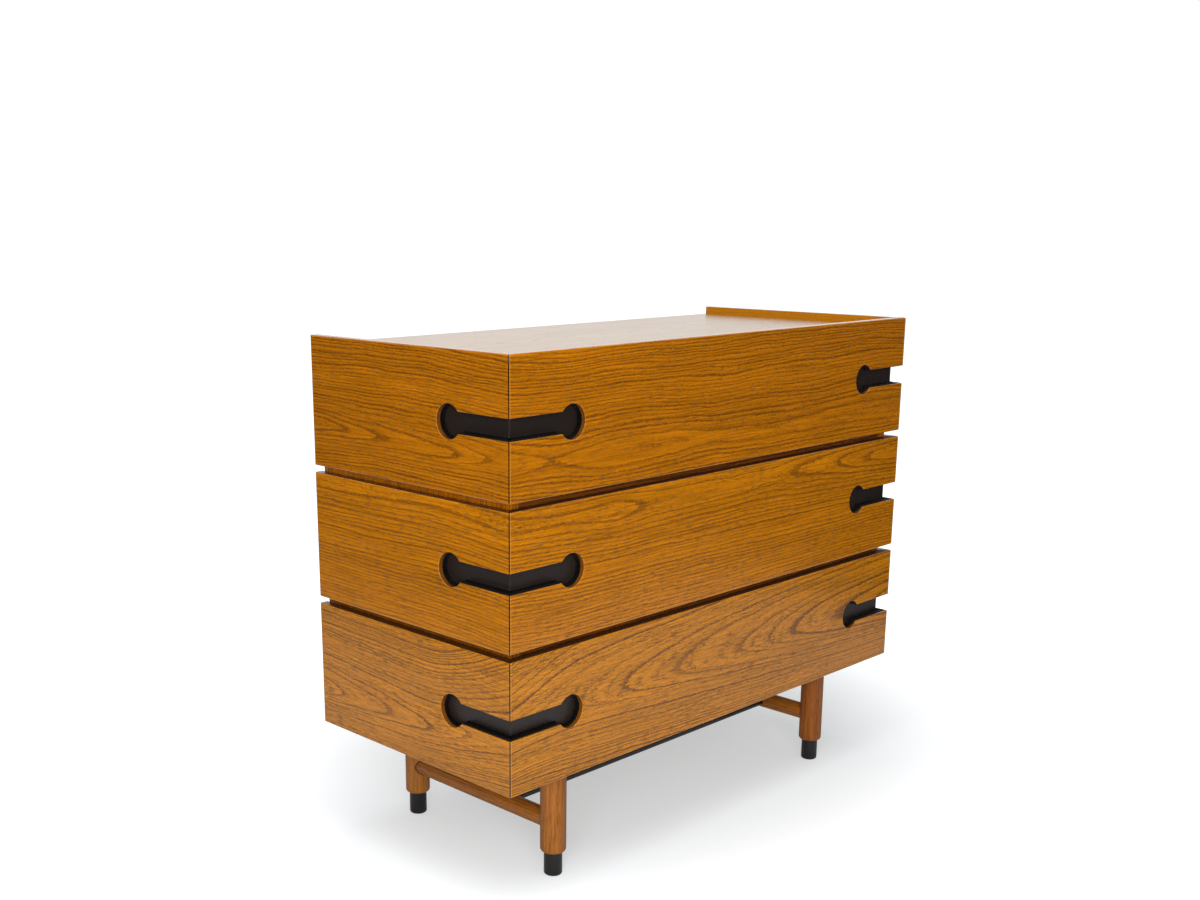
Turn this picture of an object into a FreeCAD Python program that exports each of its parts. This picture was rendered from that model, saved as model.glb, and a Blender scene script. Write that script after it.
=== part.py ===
import FreeCAD, Part
import math
import os
from FreeCAD import Placement, Rotation, Vector
import Sketcher

# Low chest of three drawers on a round-legged base.
# Frame: origin on the floor under the middle of the chest, +Z up, drawer fronts facing -Y.
# Each drawer is a shell of three mitred panels (a front and two full-depth side panels) that
# slides over a recessed carcass, with a plain drawer box inside it.

doc = FreeCAD.newDocument("chest_of_drawers")
sheet = doc.addObject("Spreadsheet::Sheet", "Sizes")

sizes = {
    # overall envelope of the drawer shells, and the levels above the floor
    "chest_width": 1000,
    "chest_depth": 452,
    "base_height": 190,
    "tier_height": 206.6,
    "tier_gap": 11.2,
    "rim_height": 14,
    # drawer shells
    "panel_thickness": 15,
    "panel_edge_radius": 2.5,
    "mitre_gap": 0.6,
    # finger cut-outs that wrap the front corners
    "slot_half_height": 16,
    "slot_end_radius": 26,
    "slot_end_inset": 126,
    "slot_edge_radius": 0.8,
    # corner plates that floor the cut-outs and tie the three panels together
    "plate_thickness": 2,
    "plate_half_height": 38,
    "plate_end_margin": 10,
    "plate_bend_radius": 2.6,
    "plate_clearance": 2,
    "plate_screw_inset": 50,
    "plate_screw_margin": 10,
    # countersunk wood screws of the corner plates
    "screw_head_radius": 3.2,
    "screw_shank_radius": 1.6,
    "screw_length": 12,
    "screw_tip_length": 3,
    "screw_tip_radius": 0.4,
    "screw_slot_width": 0.8,
    "screw_slot_depth": 0.7,
    # carcass
    "board_thickness": 18,
    "carcass_lift": 2,
    "top_clearance": 1,
    "rail_depth": 60,
    "rail_setback": 1,
    "runner_width": 45,
    "back_thickness": 8,
    "back_inset": 3,
    "back_rebate": 8,
    "back_fit": 0.2,
    "back_screw_edge": 4,
    "back_screw_length": 20,
    "back_screw_head_radius": 3,
    "back_screw_head_height": 2,
    "back_screw_head_top_radius": 2.5,
    # drawer boxes
    "runner_clearance": 0.3,
    "box_side_clearance": 1,
    "box_head_room": 10.9,
    "box_front_thickness": 15,
    "box_side_thickness": 12,
    "box_bottom_thickness": 6,
    "groove_depth": 6,
    "groove_height": 10,
    "groove_fit": 0.1,
    "rebate_run_out": 80,
    "stop_depth": 12,
    "stop_width": 14,
    "stop_height": 20,
    "stop_gap": 0.3,
    # base
    "leg_radius": 20.8,
    "leg_edge_radius": 6,
    "leg_side_inset": 150,
    "leg_end_inset": 60,
    "foot_radius": 14.7,
    "foot_height": 39,
    "foot_edge_radius": 3.5,
    "foot_spigot_radius": 6,
    "foot_spigot_length": 22,
    "stretcher_radius": 15,
    "stretcher_drop": 100,
    "tenon_radius": 9,
    "tenon_length": 18,
    "crossbar_radius": 8,
    "crossbar_inset": 170,
    "crossbar_socket": 8,
    "socket_fit": 0.1,
    "leg_plate_width": 60,
    "leg_plate_thickness": 3,
    "leg_bolt_radius": 4,
    "leg_bolt_length": 38,
    "leg_screw_offset": 23,
}
for row, (alias, number) in enumerate(sizes.items(), start=1):
    sheet.set(f"A{row}", alias.replace("_", " "))
    sheet.set(f"B{row}", str(number))
    sheet.setAlias(f"B{row}", alias)
doc.recompute()


def cell(alias):
    return f"Sizes.{alias}"


def value(expression):
    """Number that an expression of the sheet's cells gives, in millimetres."""
    return float(sheet.evalExpression(expression))


# Counts, angles and tolerances.
tiers = {name: tier for tier, name in enumerate(("bottom_drawer", "middle_drawer", "top_drawer"))}
back_screw_rows = 4
back_screw_columns = 5
countersink_angle = 90
same_place = 1e-4  # points this close in mm are one
least_cut = 1  # mm3 that a cut takes away at the least

# Places worked out from the driving sizes, as expressions.
half_width = "Sizes.chest_width / 2"
half_depth = "Sizes.chest_depth / 2"
tier_pitch = "(Sizes.tier_height + Sizes.tier_gap)"
rim_level = f"(Sizes.base_height + {len(tiers) - 1} * {tier_pitch} + Sizes.tier_height)"
top_level = f"({rim_level} - Sizes.rim_height)"
panel_back = f"(-{half_depth} + Sizes.panel_thickness)"
carcass_recess = "(Sizes.panel_thickness + Sizes.plate_thickness + Sizes.plate_clearance)"
carcass_half = f"({half_width} - {carcass_recess})"
carcass_front = f"(-{half_depth} + {carcass_recess})"
carcass_foot = "(Sizes.base_height + Sizes.carcass_lift)"
carcass_head = f"({top_level} - Sizes.board_thickness)"
inner_half = f"({carcass_half} - Sizes.board_thickness)"
back_face = f"({half_depth} - Sizes.back_inset - Sizes.back_thickness)"
box_half = f"({inner_half} - Sizes.box_side_clearance)"
box_rear = f"({back_face} - Sizes.stop_depth - Sizes.stop_gap)"
plate_reach = "(Sizes.slot_end_inset + Sizes.slot_end_radius + Sizes.plate_end_margin)"
leg_x = f"({half_width} - Sizes.leg_side_inset)"
leg_y = f"({half_depth} - Sizes.leg_end_inset)"
leg_head = f"({carcass_foot} - Sizes.leg_plate_thickness)"
stretcher_level = "(Sizes.base_height - Sizes.stretcher_drop)"


def tier_level(tier):
    """Level of the lower edge of a tier's panels."""
    return f"(Sizes.base_height + {tier} * {tier_pitch})"


def rail_level(tier):
    """Underside of the rail frame whose top carries a tier; the frame is centred on the gap."""
    return f"({tier_level(tier)} - Sizes.tier_gap / 2 - Sizes.board_thickness / 2)"


def seat_level(tier):
    """Surface that a tier's drawer box slides on."""
    if tier == 0:
        return f"({carcass_foot} + Sizes.board_thickness)"
    return f"({rail_level(tier)} + Sizes.board_thickness)"


def box_level(tier):
    return f"({seat_level(tier)} + Sizes.runner_clearance)"


# All three boxes are as high as the top one can be under the tabletop.
box_height = f"({carcass_head} - {box_level(tiers['top_drawer'])} - Sizes.box_head_room)"


# ---- building helpers ----

parts = []


def keep(thing):
    """Adds a finished sub-part to the list that is written out."""
    parts.append(thing)
    return thing


def place(thing, x="0", y="0", z="0"):
    for axis, expression in zip("xyz", (x, y, z)):
        thing.setExpression(f"Placement.Base.{axis}", expression)


def board(label, x_range, y_range, z_range):
    """Plain rectangular piece between two expressions on each axis."""
    box = doc.addObject("Part::Box", label)
    box.Label = label
    spans = zip(("Length", "Width", "Height"), (x_range, y_range, z_range))
    for side, (low, high) in spans:
        box.setExpression(side, f"{high} - {low}")
    place(box, x_range[0], y_range[0], z_range[0])
    return box


def mirrored(label, source, normal):
    """Copy of a piece on the other side of the chest's middle plane."""
    copy = doc.addObject("Part::Mirroring", label)
    copy.Label = label
    copy.Source = source
    copy.Normal = normal
    return copy


left_right = Vector(1, 0, 0)
front_rear = Vector(0, 1, 0)


def four_corners(label, source):
    """The piece at the front left corner and its three mirror copies, as one group."""
    right = mirrored(label + "_copy_right", source, left_right)
    rear = mirrored(label + "_copy_rear", source, front_rear)
    far = mirrored(label + "_copy_far", rear, left_right)
    group = doc.addObject("Part::Compound", label)
    group.Label = label
    group.Links = [source, right, rear, far]
    return group


def new_body(label):
    body = doc.addObject("PartDesign::Body", label)
    body.Label = label
    return body


def origin_plane(body, role):
    return next(item for item in body.Origin.OriginFeatures if item.Role == role)


def new_sketch(body, name, role):
    sketch = body.newObject("Sketcher::SketchObject", f"{body.Name}_{name}")
    sketch.AttachmentSupport = [(origin_plane(body, role), "")]
    sketch.MapMode = "FlatFace"
    return sketch


def locate(sketch, geometry, point, x, y, name):
    """Dimensions one point of the sketch from its origin by two expressions."""
    for kind, expression in (("DistanceX", x), ("DistanceY", y)):
        index = sketch.addConstraint(
            Sketcher.Constraint(kind, -1, 1, geometry, point, value(expression)))
        sketch.renameConstraint(index, f"{name}_{kind[-1].lower()}")
        sketch.setExpression(f"Constraints[{index}]", expression)


def polygon(sketch, corners):
    """Closed outline of straight lines through corners given as pairs of expressions."""
    points = [Vector(value(x), value(y), 0) for x, y in corners]
    first = sketch.GeometryCount
    count = len(points)
    for index in range(count):
        sketch.addGeometry(Part.LineSegment(points[index], points[(index + 1) % count]), False)
    for index in range(count):
        follower = first + (index + 1) % count
        sketch.addConstraint(Sketcher.Constraint("Coincident", first + index, 2, follower, 1))
    for index, (x, y) in enumerate(corners):
        locate(sketch, first + index, 1, x, y, f"corner{first + index}")


def rectangle(sketch, x_range, y_range):
    (x0, x1), (y0, y1) = x_range, y_range
    polygon(sketch, [(x0, y0), (x1, y0), (x1, y1), (x0, y1)])


def circle(sketch, x, y, radius, name):
    centre = Vector(value(x), value(y), 0)
    index = sketch.addGeometry(Part.Circle(centre, Vector(0, 0, 1), value(radius)), False)
    locate(sketch, index, 3, x, y, name)
    limit = sketch.addConstraint(Sketcher.Constraint("Radius", index, value(radius)))
    sketch.setExpression(f"Constraints[{limit}]", radius)


def finger_slot(sketch, edge, centre, level, overrun, name):
    """Straight slot that runs in from a panel's end at edge to a larger round end at centre.
    The slot starts overrun outside the edge; all three are expressions along the panel."""
    inward = 1 if value(centre) > value(edge) else -1
    start_x = f"({edge} - {inward} * {overrun})"
    middle = Vector(value(centre), value(level), 0)
    radius = value(cell("slot_end_radius"))
    rise = value(cell("slot_half_height"))
    neck_x = middle.x - inward * (radius ** 2 - rise ** 2) ** 0.5
    low_start = Vector(value(start_x), middle.y - rise, 0)
    high_start = Vector(value(start_x), middle.y + rise, 0)
    low_neck = Vector(neck_x, middle.y - rise, 0)
    high_neck = Vector(neck_x, middle.y + rise, 0)
    far_side = middle + Vector(inward * radius, 0, 0)
    first = sketch.GeometryCount
    low, bow, high, mouth = range(first, first + 4)
    sketch.addGeometry(Part.LineSegment(low_start, low_neck), False)
    sketch.addGeometry(Part.Arc(low_neck, far_side, high_neck), False)
    sketch.addGeometry(Part.LineSegment(high_neck, high_start), False)
    sketch.addGeometry(Part.LineSegment(high_start, low_start), False)
    # an arc's points run anticlockwise, so its start is the low neck only on a left-hand slot
    bow_start, bow_end = (1, 2) if inward > 0 else (2, 1)
    joins = [(low, 2, bow, bow_start), (bow, bow_end, high, 1),
             (high, 2, mouth, 1), (mouth, 2, low, 1)]
    for join in joins:
        sketch.addConstraint(Sketcher.Constraint("Coincident", *join))
    sketch.addConstraint(Sketcher.Constraint("Horizontal", low))
    sketch.addConstraint(Sketcher.Constraint("Horizontal", high))
    locate(sketch, bow, 3, centre, level, f"{name}_bow")
    locate(sketch, low, 1, start_x, f"{level} - {cell('slot_half_height')}", f"{name}_low")
    locate(sketch, high, 2, start_x, f"{level} + {cell('slot_half_height')}", f"{name}_high")
    bend = sketch.addConstraint(Sketcher.Constraint("Radius", bow, radius))
    sketch.setExpression(f"Constraints[{bend}]", cell("slot_end_radius"))


def pad(body, sketch, length, reverse=False, symmetric=False):
    feature = body.newObject("PartDesign::Pad", sketch.Name + "_pad")
    feature.Profile = sketch
    feature.setExpression("Length", length)
    feature.Reversed = reverse
    feature.Midplane = symmetric
    doc.recompute()
    return feature


def checked(body, before, feature):
    """Makes sure that a cut took something away."""
    if feature.Shape.Volume > before - least_cut:
        raise RuntimeError(f"{feature.Name} of {body.Label} cuts nothing")
    return feature


def pocket(body, sketch, depth, reverse=False):
    before = body.Shape.Volume
    feature = body.newObject("PartDesign::Pocket", sketch.Name + "_cut")
    feature.Profile = sketch
    feature.setExpression("Length", depth)
    feature.Reversed = reverse
    doc.recompute()
    return checked(body, before, feature)


def revolve(body, sketch):
    feature = body.newObject("PartDesign::Revolution", sketch.Name + "_turned")
    feature.Profile = sketch
    feature.ReferenceAxis = (sketch, ["V_Axis"])
    feature.Angle = 360
    doc.recompute()
    return feature


def round_edges(body, feature, name, test, radius):
    """Rounds those edges of the body's last feature whose end points pass the test together."""
    picked = []
    for number, edge in enumerate(feature.Shape.Edges, start=1):
        if test([vertex.Point for vertex in edge.Vertexes]):
            picked.append(f"Edge{number}")
    fillet = body.newObject("PartDesign::Fillet", f"{body.Name}_{name}")
    fillet.Base = (feature, picked)
    fillet.setExpression("Radius", radius)
    doc.recompute()
    return fillet


def near(a, b):
    return abs(a - b) < same_place


def prism(label, role, outline, length, reverse=False, symmetric=False):
    """Body of one constant section, drawn on an origin plane and padded off it."""
    body = new_body(label)
    sketch = new_sketch(body, "section", role)
    polygon(sketch, outline)
    pad(body, sketch, length, reverse, symmetric)
    return body


# ---- drawer shells ----

mitre_offset = "(Sizes.mitre_gap / sqrt(2))"
slot_level = "(Sizes.tier_height / 2)"
plate_level = f"({slot_level} - Sizes.plate_half_height)"


def on_slot_rim(points):
    """True for an edge of a panel's face that belongs to the outline of a finger slot."""
    band = value(cell("slot_end_radius"))
    return all(abs(point.z - value(slot_level)) < band for point in points)


def drawer_front(name, tier):
    """Front panel with mitred ends, eased long edges and a finger slot at each end."""
    body = new_body(f"{name}_front")
    plan = new_sketch(body, "plan", "XY_Plane")
    outer = f"({half_width} - {mitre_offset})"
    inner = f"({outer} - Sizes.panel_thickness)"
    face_y = f"(-{half_depth})"
    polygon(plan, [(f"-{outer}", face_y), (outer, face_y), (inner, panel_back), (f"-{inner}", panel_back)])
    blank = pad(body, plan, cell("tier_height"))
    face = value(face_y)

    def long_edge(points):
        return all(near(point.y, face) for point in points) and near(points[0].z, points[-1].z)

    round_edges(body, blank, "eased", long_edge, cell("panel_edge_radius"))
    slots = new_sketch(body, "slots", "XZ_Plane")
    for side, edge_x, inward in (("left", f"(-{half_width})", "+"), ("right", f"({half_width})", "-")):
        centre_x = f"({edge_x} {inward} Sizes.slot_end_inset)"
        finger_slot(slots, edge_x, centre_x, slot_level, cell("panel_thickness"), side)
    cut = pocket(body, slots, half_depth, reverse=True)

    def slot_edge(points):
        return all(near(point.y, face) for point in points) and on_slot_rim(points)

    round_edges(body, cut, "slot_eased", slot_edge, cell("slot_edge_radius"))
    place(body, z=tier_level(tier))
    return body


def drawer_side_panel(name, tier):
    """Left side panel: mitred at the front, with the other half of the slot, square at the rear."""
    body = new_body(f"{name}_side_panel_left")
    plan = new_sketch(body, "plan", "XY_Plane")
    outer = f"(-{half_width})"
    inner = f"({outer} + Sizes.panel_thickness)"
    nose = f"(-{half_depth} + {mitre_offset})"
    throat = f"({nose} + Sizes.panel_thickness)"
    polygon(plan, [(outer, half_depth), (outer, nose), (inner, throat), (inner, half_depth)])
    blank = pad(body, plan, cell("tier_height"))
    face, mitre = value(outer), value(nose)

    def outer_edge(points):
        on_face = all(near(point.x, face) for point in points)
        return on_face and any(not near(point.y, mitre) for point in points)

    round_edges(body, blank, "eased", outer_edge, cell("panel_edge_radius"))
    slot = new_sketch(body, "slot", "YZ_Plane")
    centre_y = f"(-{half_depth} + Sizes.slot_end_inset)"
    finger_slot(slot, f"(-{half_depth})", centre_y, slot_level, cell("panel_thickness"), "side")
    cut = pocket(body, slot, half_width)

    def slot_edge(points):
        return all(near(point.x, face) for point in points) and on_slot_rim(points)

    round_edges(body, cut, "slot_eased", slot_edge, cell("slot_edge_radius"))
    place(body, z=tier_level(tier))
    return body


# Screw places of one leg of a corner plate, measured from the outer corner of the panels.
plate_screw_reaches = [cell("plate_screw_inset"), f"({plate_reach} - Sizes.plate_screw_margin)"]
plate_screw_heights = [cell("plate_screw_margin"), "(2 * Sizes.plate_half_height - Sizes.plate_screw_margin)"]
plate_inner = "(Sizes.panel_thickness + Sizes.plate_thickness)"


def corner_plate(name, tier):
    """Bent steel angle behind the slot; its inner faces lie on the body's origin planes."""
    body = new_body(f"{name}_corner_plate_left")
    plan = new_sketch(body, "plan", "XY_Plane")
    out = "(-Sizes.plate_thickness)"
    reach = f"({plate_reach} - {plate_inner})"
    polygon(plan, [(out, out), (reach, out), (reach, "0"), ("0", "0"), ("0", reach), (out, reach)])
    angle = pad(body, plan, "2 * Sizes.plate_half_height")
    outside = value(out)

    def outer_bend(points):
        return all(near(point.x, outside) and near(point.y, outside) for point in points)

    def inner_bend(points):
        return all(near(point.x, 0) and near(point.y, 0) for point in points)

    bent = round_edges(body, angle, "outer_bend", outer_bend, cell("plate_bend_radius"))
    inner_radius = "Sizes.plate_bend_radius - Sizes.plate_thickness"
    round_edges(body, bent, "inner_bend", inner_bend, inner_radius)
    for role, reverse in (("XZ_Plane", True), ("YZ_Plane", False)):
        centres = new_sketch(body, f"holes_{role[:2]}", role)
        for across, reach_to in enumerate(plate_screw_reaches):
            for up, height in enumerate(plate_screw_heights):
                hole_radius = "(Sizes.screw_shank_radius + Sizes.socket_fit)"
                circle(centres, f"({reach_to} - {plate_inner})", height, hole_radius, f"hole{across}{up}")
        doc.recompute()
        before = body.Shape.Volume
        hole = body.newObject("PartDesign::Hole", f"{centres.Name}_drilled")
        hole.Profile = centres
        hole.ThreadType = "None"
        hole.DepthType = "ThroughAll"
        hole.Reversed = reverse
        hole.HoleCutType = "Countersink"
        hole.HoleCutCustomValues = True
        hole.HoleCutCountersinkAngle = countersink_angle
        hole.setExpression("Diameter", "2 * (Sizes.screw_shank_radius + Sizes.socket_fit)")
        hole.setExpression("HoleCutDiameter", "2 * (Sizes.screw_head_radius + Sizes.socket_fit)")
        doc.recompute()
        checked(body, before, hole)
    corner_x = f"-{half_width} + {plate_inner}"
    place(body, corner_x, f"-{half_depth} + {plate_inner}", f"{tier_level(tier)} + {plate_level}")
    return body


# ---- screws ----


def slotted(screw, head_top):
    """Cuts the driver slot into a screw whose head ends at head_top and which points along +Z."""
    width = value(cell("screw_slot_width"))
    depth = value(cell("screw_slot_depth"))
    length = screw.BoundBox.XLength
    slot = Part.makeBox(length, width, depth, Vector(-length / 2, -width / 2, head_top))
    return screw.cut(slot)


def screw_shank(start, length):
    """Plain shank with a tapered tip, from start along +Z."""
    radius = value(cell("screw_shank_radius"))
    tip = value(cell("screw_tip_length"))
    tip_radius = value(cell("screw_tip_radius"))
    shank = Part.makeCylinder(radius, length - tip, Vector(0, 0, start))
    return shank.fuse(Part.makeCone(radius, tip_radius, tip, Vector(0, 0, start + length - tip)))


def countersunk_screw():
    head = value(cell("screw_head_radius"))
    shank = value(cell("screw_shank_radius"))
    head_depth = (head - shank) / math.tan(math.radians(countersink_angle / 2))
    cone = Part.makeCone(head, shank, head_depth)
    screw = cone.fuse(screw_shank(head_depth, value(cell("screw_length")) - head_depth))
    return slotted(screw.removeSplitter(), 0)


def pan_head_screw():
    """Screw whose slightly domed head stands on the surface at its origin."""
    head = value(cell("back_screw_head_radius"))
    rise = value(cell("back_screw_head_height"))
    top = value(cell("back_screw_head_top_radius"))
    dome = Part.makeCone(top, head, rise, Vector(0, 0, -rise))
    screw = dome.fuse(screw_shank(0, value(cell("back_screw_length"))))
    return slotted(screw.removeSplitter(), -rise)


def screw_group(label, screw, seats):
    """Separate screws in one group; each seat is a point and the way the screw points."""
    solids = []
    for point, direction in seats:
        solid = screw.copy()
        solid.Placement = Placement(point, Rotation(Vector(0, 0, 1), direction))
        solids.append(solid)
    group = doc.addObject("Part::Feature", label)
    group.Label = label
    group.Shape = Part.makeCompound(solids)
    return group


def plate_screws(name, tier):
    """Screws of both corner plates of a drawer."""
    seats = []
    seat_x = value(f"{half_width} - {plate_inner}")
    seat_y = value(f"-{half_depth} + {plate_inner}")
    for side in (-1, 1):
        for reach_to in plate_screw_reaches:
            for height in plate_screw_heights:
                level = value(f"{plate_level} + {height}")
                along_front = side * value(f"{half_width} - {reach_to}")
                along_side = value(f"-{half_depth} + {reach_to}")
                seats.append((Vector(along_front, seat_y, level), Vector(0, -1, 0)))
                seats.append((Vector(side * seat_x, along_side, level), Vector(side, 0, 0)))
    group = screw_group(f"{name}_plate_screws", countersunk_screw(), seats)
    group.setExpression("Placement.Base.z", tier_level(tier))
    return group


# ---- drawer boxes ----

groove_low = cell("groove_height")
groove_high = "(Sizes.groove_height + Sizes.box_bottom_thickness + Sizes.groove_fit)"
box_front_rear = f"({panel_back} + Sizes.box_front_thickness)"


def grooved_section(thickness):
    """Upright board section with the bottom's groove in the face away from its origin."""
    floor = f"({thickness} - Sizes.groove_depth)"
    low_side = [("0", "0"), (thickness, "0"), (thickness, groove_low), (floor, groove_low)]
    high_side = [(floor, groove_high), (thickness, groove_high),
                 (thickness, box_height), ("0", box_height)]
    return low_side + high_side


def box_front(name, tier):
    """Inner front, glued behind the front panel; its ends are rebated over the corner plates."""
    section = grooved_section(cell("box_front_thickness"))
    body = prism(f"{name}_box_front", "YZ_Plane", section, f"2 * {box_half}", symmetric=True)
    rebates = new_sketch(body, "rebates", "XZ_Plane")
    shoulder = f"({half_width} - {plate_reach} - Sizes.rebate_run_out)"
    rectangle(rebates, (f"(-{half_width})", f"(-{shoulder})"), ("0", box_height))
    rectangle(rebates, (shoulder, f"({half_width})"), ("0", box_height))
    pocket(body, rebates, "Sizes.plate_thickness + Sizes.socket_fit")
    place(body, y=panel_back, z=box_level(tier))
    return body


def box_side(name, tier):
    section = grooved_section(cell("box_side_thickness"))
    length = f"{box_rear} - {box_front_rear}"
    body = prism(f"{name}_box_side_left", "XZ_Plane", section, length, reverse=True)
    place(body, f"-{box_half}", box_front_rear, box_level(tier))
    return body


def box_back(name, tier):
    """Back board between the sides; its groove faces the front."""
    thickness = cell("box_side_thickness")
    section = [(f"(-{x})" if x != "0" else x, z) for x, z in grooved_section(thickness)]
    length = f"2 * ({box_half} - {thickness})"
    body = prism(f"{name}_box_back", "YZ_Plane", section, length, symmetric=True)
    place(body, y=box_rear, z=box_level(tier))
    return body


def box_bottom(name, tier):
    tongue = "(Sizes.groove_depth - Sizes.groove_fit)"
    half = f"({box_half} - Sizes.box_side_thickness + {tongue})"
    front = f"({box_front_rear} - {tongue})"
    rear = f"({box_rear} - Sizes.box_side_thickness + {tongue})"
    low = f"({box_level(tier)} + Sizes.groove_height)"
    high = f"({low} + Sizes.box_bottom_thickness)"
    return board(f"{name}_box_bottom", (f"(-{half})", half), (front, rear), (low, high))


for name, tier in tiers.items():
    keep(drawer_front(name, tier))
    for build in (drawer_side_panel, corner_plate, box_side):
        left = keep(build(name, tier))
        keep(mirrored(left.Label.replace("_left", "_right"), left, left_right))
    keep(plate_screws(name, tier))
    keep(box_front(name, tier))
    keep(box_back(name, tier))
    keep(box_bottom(name, tier))


# ---- carcass ----


def carcass_side():
    """Left side board, rebated at its inner rear edge for the back panel."""
    rebate = f"(-{inner_half} - Sizes.back_rebate)"
    plan = [(f"(-{carcass_half})", carcass_front), (f"(-{inner_half})", carcass_front),
            (f"(-{inner_half})", back_face), (rebate, back_face),
            (rebate, half_depth), (f"(-{carcass_half})", half_depth)]
    body = prism("carcass_side_left", "XY_Plane", plan, f"{carcass_head} - {carcass_foot}")
    place(body, z=carcass_foot)
    return body


left_side = keep(carcass_side())
keep(mirrored("carcass_side_right", left_side, left_right))

top_half = f"({half_width} - Sizes.panel_thickness - Sizes.top_clearance)"
top_front = f"({panel_back} + Sizes.top_clearance)"
keep(board("tabletop", (f"(-{top_half})", top_half), (top_front, half_depth), (carcass_head, top_level)))

inside = (f"(-{inner_half})", inner_half)
keep(board("bottom_board", inside, (carcass_front, back_face), (carcass_foot, seat_level(0))))

rail_front = f"({carcass_front} + Sizes.rail_setback)"
rail_rear = f"({rail_front} + Sizes.rail_depth)"
rear_rail_front = f"({back_face} - Sizes.rail_depth)"
frames = {name: tier for tier, name in enumerate(("lower", "upper"), start=1)}
for frame, tier in frames.items():
    thick = (rail_level(tier), seat_level(tier))
    keep(board(f"front_rail_{frame}", inside, (rail_front, rail_rear), thick))
    keep(board(f"rear_rail_{frame}", inside, (rear_rail_front, back_face), thick))
    runner_span = (f"(-{inner_half})", f"(-{inner_half} + Sizes.runner_width)")
    runner = keep(board(f"runner_{frame}_left", runner_span, (rail_rear, rear_rail_front), thick))
    keep(mirrored(f"runner_{frame}_right", runner, left_right))

stops = []
for name, tier in tiers.items():
    stop_span = (f"(-{inner_half})", f"(-{inner_half} + Sizes.stop_width)")
    stop_rise = (seat_level(tier), f"({seat_level(tier)} + Sizes.stop_height)")
    stop = board(f"{name}_stop_left", stop_span, (f"({back_face} - Sizes.stop_depth)", back_face), stop_rise)
    stops += [stop, mirrored(f"{name}_stop_right", stop, left_right)]
stop_group = doc.addObject("Part::Compound", "drawer_stops")
stop_group.Label = "drawer_stops"
stop_group.Links = stops
keep(stop_group)


def back_screw_places():
    """Places of the back panel's screws, as pairs of expressions across and up."""
    pairs = []
    height = f"({carcass_head} - {carcass_foot})"
    side_x = f"({inner_half} + Sizes.back_screw_edge)"
    for row in range(back_screw_rows):
        level = f"({carcass_foot} + {height} * {(row + 0.5) / back_screw_rows})"
        pairs += [(f"(-{side_x})", level), (side_x, level)]
    carriers = [f"({carcass_foot} + Sizes.board_thickness / 2)"]
    carriers += [f"({rail_level(tier)} + Sizes.board_thickness / 2)" for tier in frames.values()]
    for level in carriers:
        for column in range(back_screw_columns):
            share = (2 * column + 1) / back_screw_columns - 1
            pairs.append((f"({inner_half} * {share})", level))
    return pairs


def back_panel():
    """Panel in the carcass sides' rebates, drilled for its screws."""
    body = new_body("back_panel")
    sketch = new_sketch(body, "outline", "XZ_Plane")
    half = f"({inner_half} + Sizes.back_rebate - Sizes.back_fit)"
    rectangle(sketch, (f"(-{half})", half), (carcass_foot, f"({carcass_head} - Sizes.back_fit)"))
    for number, (x, z) in enumerate(back_screw_places()):
        circle(sketch, x, z, "(Sizes.screw_shank_radius + Sizes.socket_fit)", f"hole{number}")
    pad(body, sketch, cell("back_thickness"), reverse=True)
    place(body, y=back_face)
    return body


keep(back_panel())
outer_back = value(f"{back_face} + Sizes.back_thickness")
back_seats = [(Vector(value(x), outer_back, value(z)), Vector(0, -1, 0)) for x, z in back_screw_places()]
keep(screw_group("back_panel_screws", pan_head_screw(), back_seats))


# ---- base ----

leg_length = f"({leg_head} - Sizes.foot_height)"
tenon_bore = "(Sizes.tenon_radius + Sizes.socket_fit)"


def leg():
    """Turned leg, bored at the top for its bolt and at the bottom for the foot's spigot."""
    body = new_body("leg_front_left")
    profile = new_sketch(body, "profile", "XZ_Plane")
    spigot_bore = "(Sizes.foot_spigot_radius + Sizes.socket_fit)"
    spigot_end = "(Sizes.foot_spigot_length + Sizes.socket_fit)"
    bolt_bore = "(Sizes.leg_bolt_radius + Sizes.socket_fit)"
    bolt_end = f"({leg_length} - Sizes.leg_bolt_length - Sizes.socket_fit)"
    polygon(profile, [
        (spigot_bore, "0"), (cell("leg_radius"), "0"), (cell("leg_radius"), leg_length),
        (bolt_bore, leg_length), (bolt_bore, bolt_end), ("0", bolt_end),
        ("0", spigot_end), (spigot_bore, spigot_end)])
    turned = revolve(body, profile)
    radius = value(cell("leg_radius"))

    def lower_edge(points):
        return all(near(point.z, 0) and near(abs(point.x), radius) for point in points)

    round_edges(body, turned, "foot_end", lower_edge, cell("leg_edge_radius"))
    socket = new_sketch(body, "tenon_socket", "XZ_Plane")
    circle(socket, "0", f"({stretcher_level} - Sizes.foot_height)", tenon_bore, "bore")
    pocket(body, socket, cell("leg_radius"))
    place(body, f"-{leg_x}", f"-{leg_y}", cell("foot_height"))
    return body


def foot():
    """Metal foot with a spigot that goes up into the leg."""
    body = new_body("foot_front_left")
    profile = new_sketch(body, "profile", "XZ_Plane")
    height = cell("foot_height")
    tip = "(Sizes.foot_height + Sizes.foot_spigot_length)"
    polygon(profile, [
        ("0", "0"), (cell("foot_radius"), "0"), (cell("foot_radius"), height),
        (cell("foot_spigot_radius"), height), (cell("foot_spigot_radius"), tip), ("0", tip)])
    turned = revolve(body, profile)
    radius = value(cell("foot_radius"))

    def floor_edge(points):
        return all(near(point.z, 0) and near(abs(point.x), radius) for point in points)

    round_edges(body, turned, "floor_edge", floor_edge, cell("foot_edge_radius"))
    place(body, f"-{leg_x}", f"-{leg_y}")
    return body


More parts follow.
